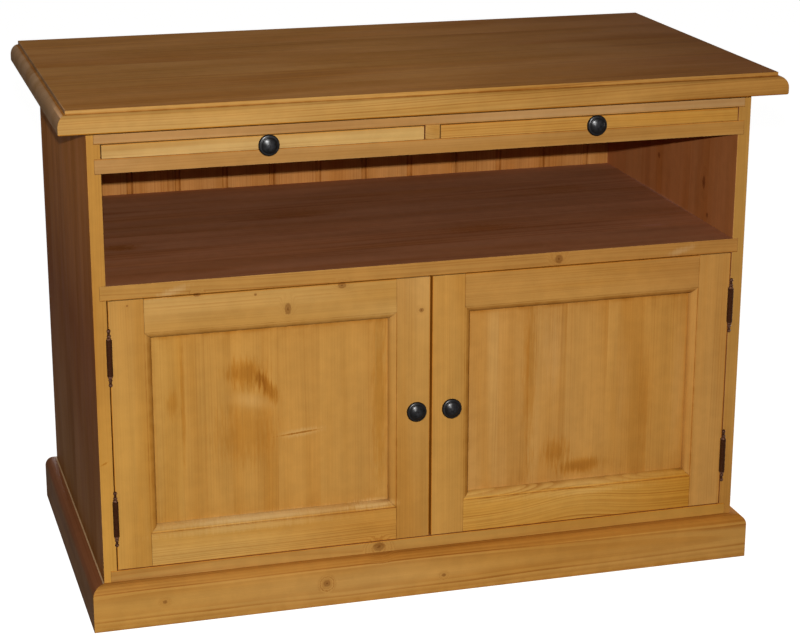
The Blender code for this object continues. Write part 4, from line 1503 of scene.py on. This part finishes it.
class SIDEBOARD_OT_knobs(Operator):
    """Turn the four mushroom knobs"""

    bl_idname = "sideboard.knobs"
    bl_label = "Knobs"

    def execute(self, context):
        steps = context.scene.sideboard_fittings.turns
        for body in ("door_left", "door_right", "slide_left", "slide_right"):
            node = f"{body}_knob"
            low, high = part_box(node)
            radius, length = (high.x - low.x) / 2, high.y - low.y
            place = ((low.x + high.x) / 2, high.y, (low.z + high.z) / 2)
            profile = knob_profile(radius, length, KNOB_FOOT * radius)
            bm = turned(profile, place, (0.0, -1.0, 0.0), steps)

            def rub(co, place=place, radius=radius, length=length):
                """Fingers rub the rolled rim, and the crown is painted pale as a shine."""
                out = math.hypot(co.x - place[0], co.z - place[2]) / radius
                up = (place[1] - co.y) / length
                on_rim = max(0.0, 1.0 - abs(out - RUBBED_RIM) / RIM_REACH) if up > RIM_FOOT else 0.0
                # The crown's share is a painted shine
                return min(1.0, RIM_RUB * on_rim + max(0.0, 1.0 - 1.2 * out))

            rub_points(bm, rub)
            made = finish_piece(f"{node}_iron", bm, body, iron(), [node], even=False)
            pieces_lit(ALL_KNOBS).objects.link(made)
        return {"FINISHED"}


# Radius and height of the screw heads
WOOD_SCREW = (0.0026, 0.0011)
STRIKE_SCREW = (0.0028, 0.0009)


def set_screw(bm, size, spot, turn):
    """Sets a slotted screw into a fitting."""
    screw = slotted_head(*size)
    bmesh.ops.transform(screw, matrix=Matrix.Translation(spot) @ turn, verts=screw.verts)
    join_into(bm, screw)


def slotted_head(radius, height):
    """A bmesh of a countersunk screw head with its slot, facing +Z."""
    bm = bmesh.new()
    bmesh.ops.create_cone(bm, cap_ends=True, segments=20, radius1=0.6 * radius, radius2=radius, depth=height)
    bmesh.ops.translate(bm, verts=bm.verts, vec=(0.0, 0.0, -height / 2))
    half = 0.16 * radius
    saw(bm, Y, (-half, half))
    bm.normal_update()
    strip = [f for f in bm.faces if f.normal.z > 0.9 and abs(f.calc_center_median().y) < half]
    bmesh.ops.translate(bm, verts=push_faces(bm, strip)[1], vec=(0.0, 0.0, -0.4 * height))
    face_outwards(bm)
    return bm


def finial(radius, length, pin):
    """Half of a pin's outline over the barrel, from the tip down: a ball, two beads and a collar."""
    turns = [math.pi / 12 * i for i in range(10)]
    ball = [(0.85 * math.sin(a), 0.82 + 0.18 * math.cos(a)) for a in turns]
    small = [(0.45, 0.655), (0.56, 0.62), (0.62, 0.57), (0.56, 0.52), (0.45, 0.48)]
    large = [(0.70, 0.44), (0.85, 0.39), (0.88, 0.35), (0.85, 0.31), (0.70, 0.25), (0.60, 0.22)]
    collar = [(0.75, 0.19), (0.96, 0.16), (1.0, 0.13), (1.0, 0.02), (0.95, 0.0)]
    return [(r * radius, share * length) for r, share in ball + small + large + collar] + [(pin, 0.0)]


# A hinge leaf's thickness, how far its tongues are rolled, and its screws as (share of height, step aside)
LEAF_THICKNESS = 0.0014
KNUCKLE_ROLL = math.radians(282)
ROLL_STEPS = 26
LEAF_SCREWS = ((0.14, -0.001), (0.5, 0.002), (0.86, -0.001))
LEAF_SCREW_PROUD = 0.00015
PIN_STEPS = 32


class SIDEBOARD_OT_hinges(Operator):
    """Roll the hinge leaves, turn their pins and set their screws"""

    bl_idname = "sideboard.hinges"
    bl_label = "Hinges"

    def execute(self, context):
        sizes = context.scene.sideboard_fittings
        for label in SIDES:
            for height in ("upper", "lower"):
                self.pin(label, height, sizes)
                for kind, body in (("frame", "carcass"), ("door", f"door_{label}")):
                    self.leaf(label, height, kind, body, sizes)
        return {"FINISHED"}

    @staticmethod
    def pin(label, height, sizes):
        """A loose pin with a finial at each end."""
        node = f"hinge_pin_{label}_{height}"
        low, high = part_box(node)
        radius = (high.x - low.x) / 2
        length = high.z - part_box(f"hinge_frame_leaf_{label}_{height}")[1].z
        barrel = high.z - low.z - 2 * length
        upper = [(r, h + barrel) for r, h in finial(radius, length, sizes.pin_radius)]
        lower = [(r, -h) for r, h in reversed(finial(radius, length, sizes.pin_radius))]
        place = ((low.x + high.x) / 2, (low.y + high.y) / 2, low.z + length)
        bm = turned(upper + lower, place, (0.0, 0.0, 1.0), PIN_STEPS)

        def rub(co):
            """The widest places are rubbed most."""
            return min(1.0, 2.0 * math.hypot(co.x - place[0], co.y - place[1]) / radius - 0.9)

        rub_points(bm, rub)
        finish_piece(f"{node}_bronze", bm, "carcass", bronze(), [node], even=False)

    def leaf(self, label, height, kind, body, sizes):
        """A leaf whose tongues are rolled round the pin into knuckles."""
        node = f"hinge_{kind}_leaf_{label}_{height}"
        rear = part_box(node)[1].y
        pin_low, pin_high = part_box(f"hinge_pin_{label}_{height}")
        axis = Vector(((pin_low.x + pin_high.x) / 2, (pin_low.y + pin_high.y) / 2, 0.0))
        foot, head = (corner.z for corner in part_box(f"hinge_frame_leaf_{label}_{height}"))
        side = SIDES[label]
        outward, face, first = side, side * INNER_HALF, 0
        if kind == "door":
            edges = [corner.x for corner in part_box(f"door_{label}_hinge_stile")]
            outward, face, first = -side, edges[0 if side < 0 else 1], 1
        thick = LEAF_THICKNESS
        pitch = (head - foot) / sizes.knuckles
        spans = [
            (foot + i * pitch + sizes.knuckle_gap / 2, foot + (i + 1) * pitch - sizes.knuckle_gap / 2)
            for i in range(first, sizes.knuckles, 2)
        ]
        bm = bmesh.new()
        bmesh.ops.create_cube(bm, size=1.0)
        bmesh.ops.scale(bm, verts=bm.verts, vec=(thick, rear - FRONT_Y, head - foot))
        middle = (face + outward * thick / 2, (rear + FRONT_Y) / 2, (foot + head) / 2)
        bmesh.ops.translate(bm, verts=bm.verts, vec=middle)
        saw(bm, Z, [z for span in spans for z in span if foot + MERGE < z < head - MERGE])
        bm.normal_update()
        for start, stop in spans:
            tongue = [
                f
                for f in bm.faces
                if f.normal.y < -0.9 and start - MERGE < f.calc_center_median().z < stop + MERGE
            ]
            end, verts = push_faces(bm, tongue)
            reach = sizes.barrel_radius
            for vert in verts:
                outer = abs(vert.co.x - face) > thick / 2
                vert.co.x = axis.x + outward * (reach if outer else reach - thick)
                vert.co.y = axis.y
            bmesh.ops.spin(
                bm,
                geom=end + verts + list({e for f in end for e in f.edges}),
                cent=axis,
                axis=(0.0, 0.0, 1.0),
                dvec=(0.0, 0.0, 0.0),
                angle=-outward * KNUCKLE_ROLL,
                steps=ROLL_STEPS,
                use_merge=False,
                use_duplicate=False,
            )
            bmesh.ops.delete(bm, geom=[f for f in end if f.is_valid], context="FACES_ONLY")
        bmesh.ops.remove_doubles(bm, verts=bm.verts, dist=MERGE)
        bmesh.ops.recalc_face_normals(bm, faces=bm.faces)
        rub_points(bm, lambda co: 0.12 if co.y < FRONT_Y - 0.004 else 0.25)
        finish_piece(f"{node}_bronze", bm, body, bronze(), [node])
        places = [(middle[1] + aside, foot + (head - foot) * share) for share, aside in LEAF_SCREWS]
        self.screws(node, body, face - outward * LEAF_SCREW_PROUD, outward, places)

    @staticmethod
    def screws(node, body, x, outward, places):
        """The screws of a leaf. No two of their slots stand alike."""
        screws = bmesh.new()
        for i, (y, z) in enumerate(places):
            spin = Matrix.Rotation(random.Random(f"{node} screw {i}").uniform(0.0, math.pi), 4, "Z")
            set_screw(screws, WOOD_SCREW, (x, y, z), facing((-outward, 0.0, 0.0)) @ spin)
        rub_points(screws, lambda co: 0.6)
        finish_piece(f"{node}_screws", screws, body, bronze(), smooth=False)


# Eased edges of the catch's housing, its pole plates and the strikes
HOUSING_EASE = 0.0012
POLE_EASE = 0.00025
STRIKE_EASE = 0.0003
STRIKE_SCREW_PROUD = 0.0002
# A pole plate's depth and thickness, its place over and under the middle, and how far it stands out
POLE_DEPTH = 0.008
POLE_THICKNESS = 0.0015
POLE_RISE = 0.0032
POLE_PROUD = 0.00008


def ease_fitting(bm, width):
    """Eases the edges of a plain fitting, which has no grain to wear."""
    ease_edges(bm, width, on_box_edge(bm))
    bm.faces.layers.int.remove(bm.faces.layers.int["worn"])


class SIDEBOARD_OT_catch(Operator):
    """Make the magnetic catch under the niche's shelf and the strikes on the doors"""

    bl_idname = "sideboard.catch"
    bl_label = "Catch and strikes"

    def execute(self, context):
        bm = node_copy("door_catch")
        ease_fitting(bm, HOUSING_EASE)
        rub_points(bm, lambda co: 0.4)
        finish_piece("door_catch_housing", bm, "carcass", catch_plastic(), ["door_catch"])
        self.poles()
        for label in SIDES:
            node = f"door_{label}_strike"
            low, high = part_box(node)
            bm = node_copy(node)
            ease_fitting(bm, STRIKE_EASE)
            place = ((low.x + high.x) / 2, high.y + STRIKE_SCREW_PROUD, (low.z + high.z) / 2)
            set_screw(bm, STRIKE_SCREW, place, facing((0.0, 1.0, 0.0)))
            rub_points(bm, lambda co: 0.5)
            finish_piece(f"{node}_steel", bm, f"door_{label}", steel(), [node])
        return {"FINISHED"}

    @staticmethod
    def poles():
        """The catch's pole plates, two behind each strike, and the screws that hold it to the shelf."""
        low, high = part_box("door_catch")
        made = bmesh.new()
        for label in SIDES:
            start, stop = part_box(f"door_{label}_strike")
            middle = (start + stop) / 2
            for rise in (-POLE_RISE, POLE_RISE):
                plate = bmesh.new()
                bmesh.ops.create_cube(plate, size=1.0)
                bmesh.ops.scale(plate, verts=plate.verts, vec=(stop.x - start.x, POLE_DEPTH, POLE_THICKNESS))
                ease_fitting(plate, POLE_EASE)
                place = (middle.x, low.y + POLE_DEPTH / 2 - POLE_PROUD, middle.z + rise)
                bmesh.ops.translate(plate, verts=plate.verts, vec=place)
                join_into(made, plate)
            place = (0.8 * middle.x, (low.y + high.y) / 2, low.z - POLE_PROUD)
            set_screw(made, WOOD_SCREW, place, Matrix.Rotation(math.pi, 4, "X"))
        rub_points(made, lambda co: 0.5)
        finish_piece("door_catch_poles", made, "carcass", steel())


KEY_TARGET = (-0.05, -0.245, 0.40)
# The soft lamps: the setting with their power, their place, target and size, and the pieces they are kept to
SOFT_LAMPS = {
    "sky_lamp": ("sky_power", (0.0, -0.2, 3.0), (0.0, 0.0, 0.76), (1.3, 1.1), None),
    "rear_lamp": ("fill_power", (0.5, 2.9, 0.50), (0.0, 0.28, 0.40), (1.8, 0.5), ALL_PIECES),
    "right_lamp": ("fill_power", (2.9, 0.55, 0.45), (0.49, 0.0, 0.38), (1.4, 0.5), ALL_PIECES),
    "high_lamp": ("high_power", (-0.95, -2.0, 2.1), (0.0, -0.27, 0.55), (0.9, 0.6), ALL_KNOBS),
}
FLOOR_REACH = 14.0
# The photo's camera: its width of film, and its axes to the right, up and forward
SENSOR_WIDTH = 36.0
CAMERA_RIGHT = Vector((0.96099, -0.27658, 0.00261))
CAMERA_UP = Vector((0.08066, 0.28926, 0.95385))
CAMERA_FORWARD = Vector((0.26457, 0.91642, -0.30028))


class SIDEBOARD_OT_stage(Operator):
    """Lay the floor, set the lamps and stand the camera"""

    bl_idname = "sideboard.stage"
    bl_label = "Stage"

    def execute(self, context):
        stage = context.scene.sideboard_stage
        self.floor(context, stage)
        self.lamp(context, "key_lamp", stage.key_place, KEY_TARGET, stage.key_power, stage.key_size)
        for name, (power, place, target, size, lit) in SOFT_LAMPS.items():
            made = self.lamp(context, name, place, target, getattr(stage, power), *size)
            if lit:
                made.light_linking.receiver_collection = pieces_lit(lit)
        self.world(context, stage)
        self.camera(context, stage)
        return {"FINISHED"}

    @staticmethod
    def shown(nodes, stage):
        """Where the pale ground shows: to the camera, through glass, and dimmer in the pieces' gloss."""
        ray = nodes.add("ShaderNodeLightPath").outputs
        seen = nodes.math("ADD", ray["Is Camera Ray"], ray["Is Transmission Ray"], clamp=True)
        return nodes.math("MULTIPLY_ADD", ray["Is Glossy Ray"], stage.gloss_share, seen, clamp=True)

    def floor(self, context, stage):
        """A wide pale floor. Its brightness for the camera and in the gloss doesn't light the piece."""
        bm = bmesh.new()
        bmesh.ops.create_grid(bm, x_segments=8, y_segments=8, size=FLOOR_REACH)
        mesh = bpy.data.meshes.new("studio_floor")
        bm.to_mesh(mesh)
        bm.free()
        made, nodes, shader = new_material("pale_floor")
        seen = self.shown(nodes, stage)
        point = nodes.add("ShaderNodeTexCoord").outputs["Object"]
        mottle = nodes.ramp(nodes.noise(point, (3.0, 3.0, 3.0), 3.0), 0.3, 0.7, 0.985, 1.0)
        colour = nodes.blend(seen, opaque(stage.floor_bounce), opaque(stage.floor_colour))
        colour = nodes.blend(1.0, colour, nodes.grey(mottle), "MULTIPLY")
        glow = nodes.math("MULTIPLY", seen, stage.floor_glow)
        nodes.wire(shader, {"Base Color": colour, "Roughness": 0.9, "Specular IOR Level": 0.0})
        nodes.wire(shader, {"Emission Color": WHITE, "Emission Strength": glow})
        mesh.materials.append(made)
        floor = bpy.data.objects.new("studio_floor", mesh)
        context.scene.collection.objects.link(floor)

    @staticmethod
    def lamp(context, name, place, target, power, width, height=None):
        """A round lamp, or a wide soft one if it has a height."""
        light = bpy.data.lights.new(name, "AREA")
        light.energy = power
        light.size = width
        light.shape = "DISK"
        if height:
            light.shape = "RECTANGLE"
            light.size_y = height
        made = bpy.data.objects.new(name, light)
        made.location = place
        aim = Vector(target) - Vector(place)
        made.rotation_euler = aim.to_track_quat("-Z", "Y").to_euler()
        made.visible_camera = False
        context.scene.collection.objects.link(made)
        return made

    def world(self, context, stage):
        """An even dim room, with a pale backdrop where the camera looks past the floor."""
        room = bpy.data.worlds.new("studio")
        room.use_nodes = True
        room.node_tree.nodes.clear()
        nodes = Nodes(room.node_tree)
        shown = self.shown(nodes, stage)
        colour = nodes.blend(shown, opaque(stage.room_colour), WHITE)
        strength = nodes.math("MULTIPLY_ADD", shown, 1.0 - stage.ambient, stage.ambient)
        sky = nodes.add("ShaderNodeBackground", {"Color": colour, "Strength": strength})
        nodes.add("ShaderNodeOutputWorld", {"Surface": sky.outputs[0]})
        context.scene.world = room

    @staticmethod
    def camera(context, stage):
        view = bpy.data.cameras.new("photo_camera")
        view.lens = stage.lens
        view.sensor_width = SENSOR_WIDTH
        view.sensor_fit = "HORIZONTAL"
        made = bpy.data.objects.new("photo_camera", view)
        turn = Matrix((CAMERA_RIGHT, CAMERA_UP, -CAMERA_FORWARD)).transposed().to_4x4()
        made.matrix_world = Matrix.Translation(stage.camera_place) @ turn
        context.scene.collection.objects.link(made)
        context.scene.camera = made
        context.scene.view_settings.view_transform = "Standard"


STEPS = (
    SIDEBOARD_OT_top,
    SIDEBOARD_OT_carcass,
    SIDEBOARD_OT_back,
    SIDEBOARD_OT_plinth,
    SIDEBOARD_OT_doors,
    SIDEBOARD_OT_slides,
    SIDEBOARD_OT_knobs,
    SIDEBOARD_OT_hinges,
    SIDEBOARD_OT_catch,
    SIDEBOARD_OT_stage,
)
SETTINGS = {
    "sideboard_pine": PineSettings,
    "sideboard_mouldings": MouldingSettings,
    "sideboard_fittings": FittingSettings,
    "sideboard_stage": StageSettings,
}


class SIDEBOARD_PT_panel(Panel):
    """Sizes and colours of the sideboard, and its pieces in the order of making"""

    bl_idname = "SIDEBOARD_PT_panel"
    bl_label = "Sideboard"
    bl_space_type = "VIEW_3D"
    bl_region_type = "UI"
    bl_category = "Sideboard"

    def draw(self, context):
        for name, kind in SETTINGS.items():
            column = self.layout.box().column()
            for label in kind.__annotations__:
                column.prop(getattr(context.scene, name), label)
        for step in STEPS:
            self.layout.operator(step.bl_idname)


def register():
    for kind in (*SETTINGS.values(), *STEPS, SIDEBOARD_PT_panel):
        bpy.utils.register_class(kind)
    for name, kind in SETTINGS.items():
        setattr(bpy.types.Scene, name, PointerProperty(type=kind))


def unregister():
    for name in SETTINGS:
        delattr(bpy.types.Scene, name)
    for kind in (SIDEBOARD_PT_panel, *reversed(STEPS), *SETTINGS.values()):
        bpy.utils.unregister_class(kind)


def main():
    register()
    bpy.ops.sideboard.top()
    bpy.ops.sideboard.carcass()
    bpy.ops.sideboard.back()
    bpy.ops.sideboard.plinth()
    bpy.ops.sideboard.doors()
    bpy.ops.sideboard.slides()
    bpy.ops.sideboard.knobs()
    bpy.ops.sideboard.hinges()
    bpy.ops.sideboard.catch()
    bpy.ops.sideboard.stage()


if __name__ == "__main__":
    main()
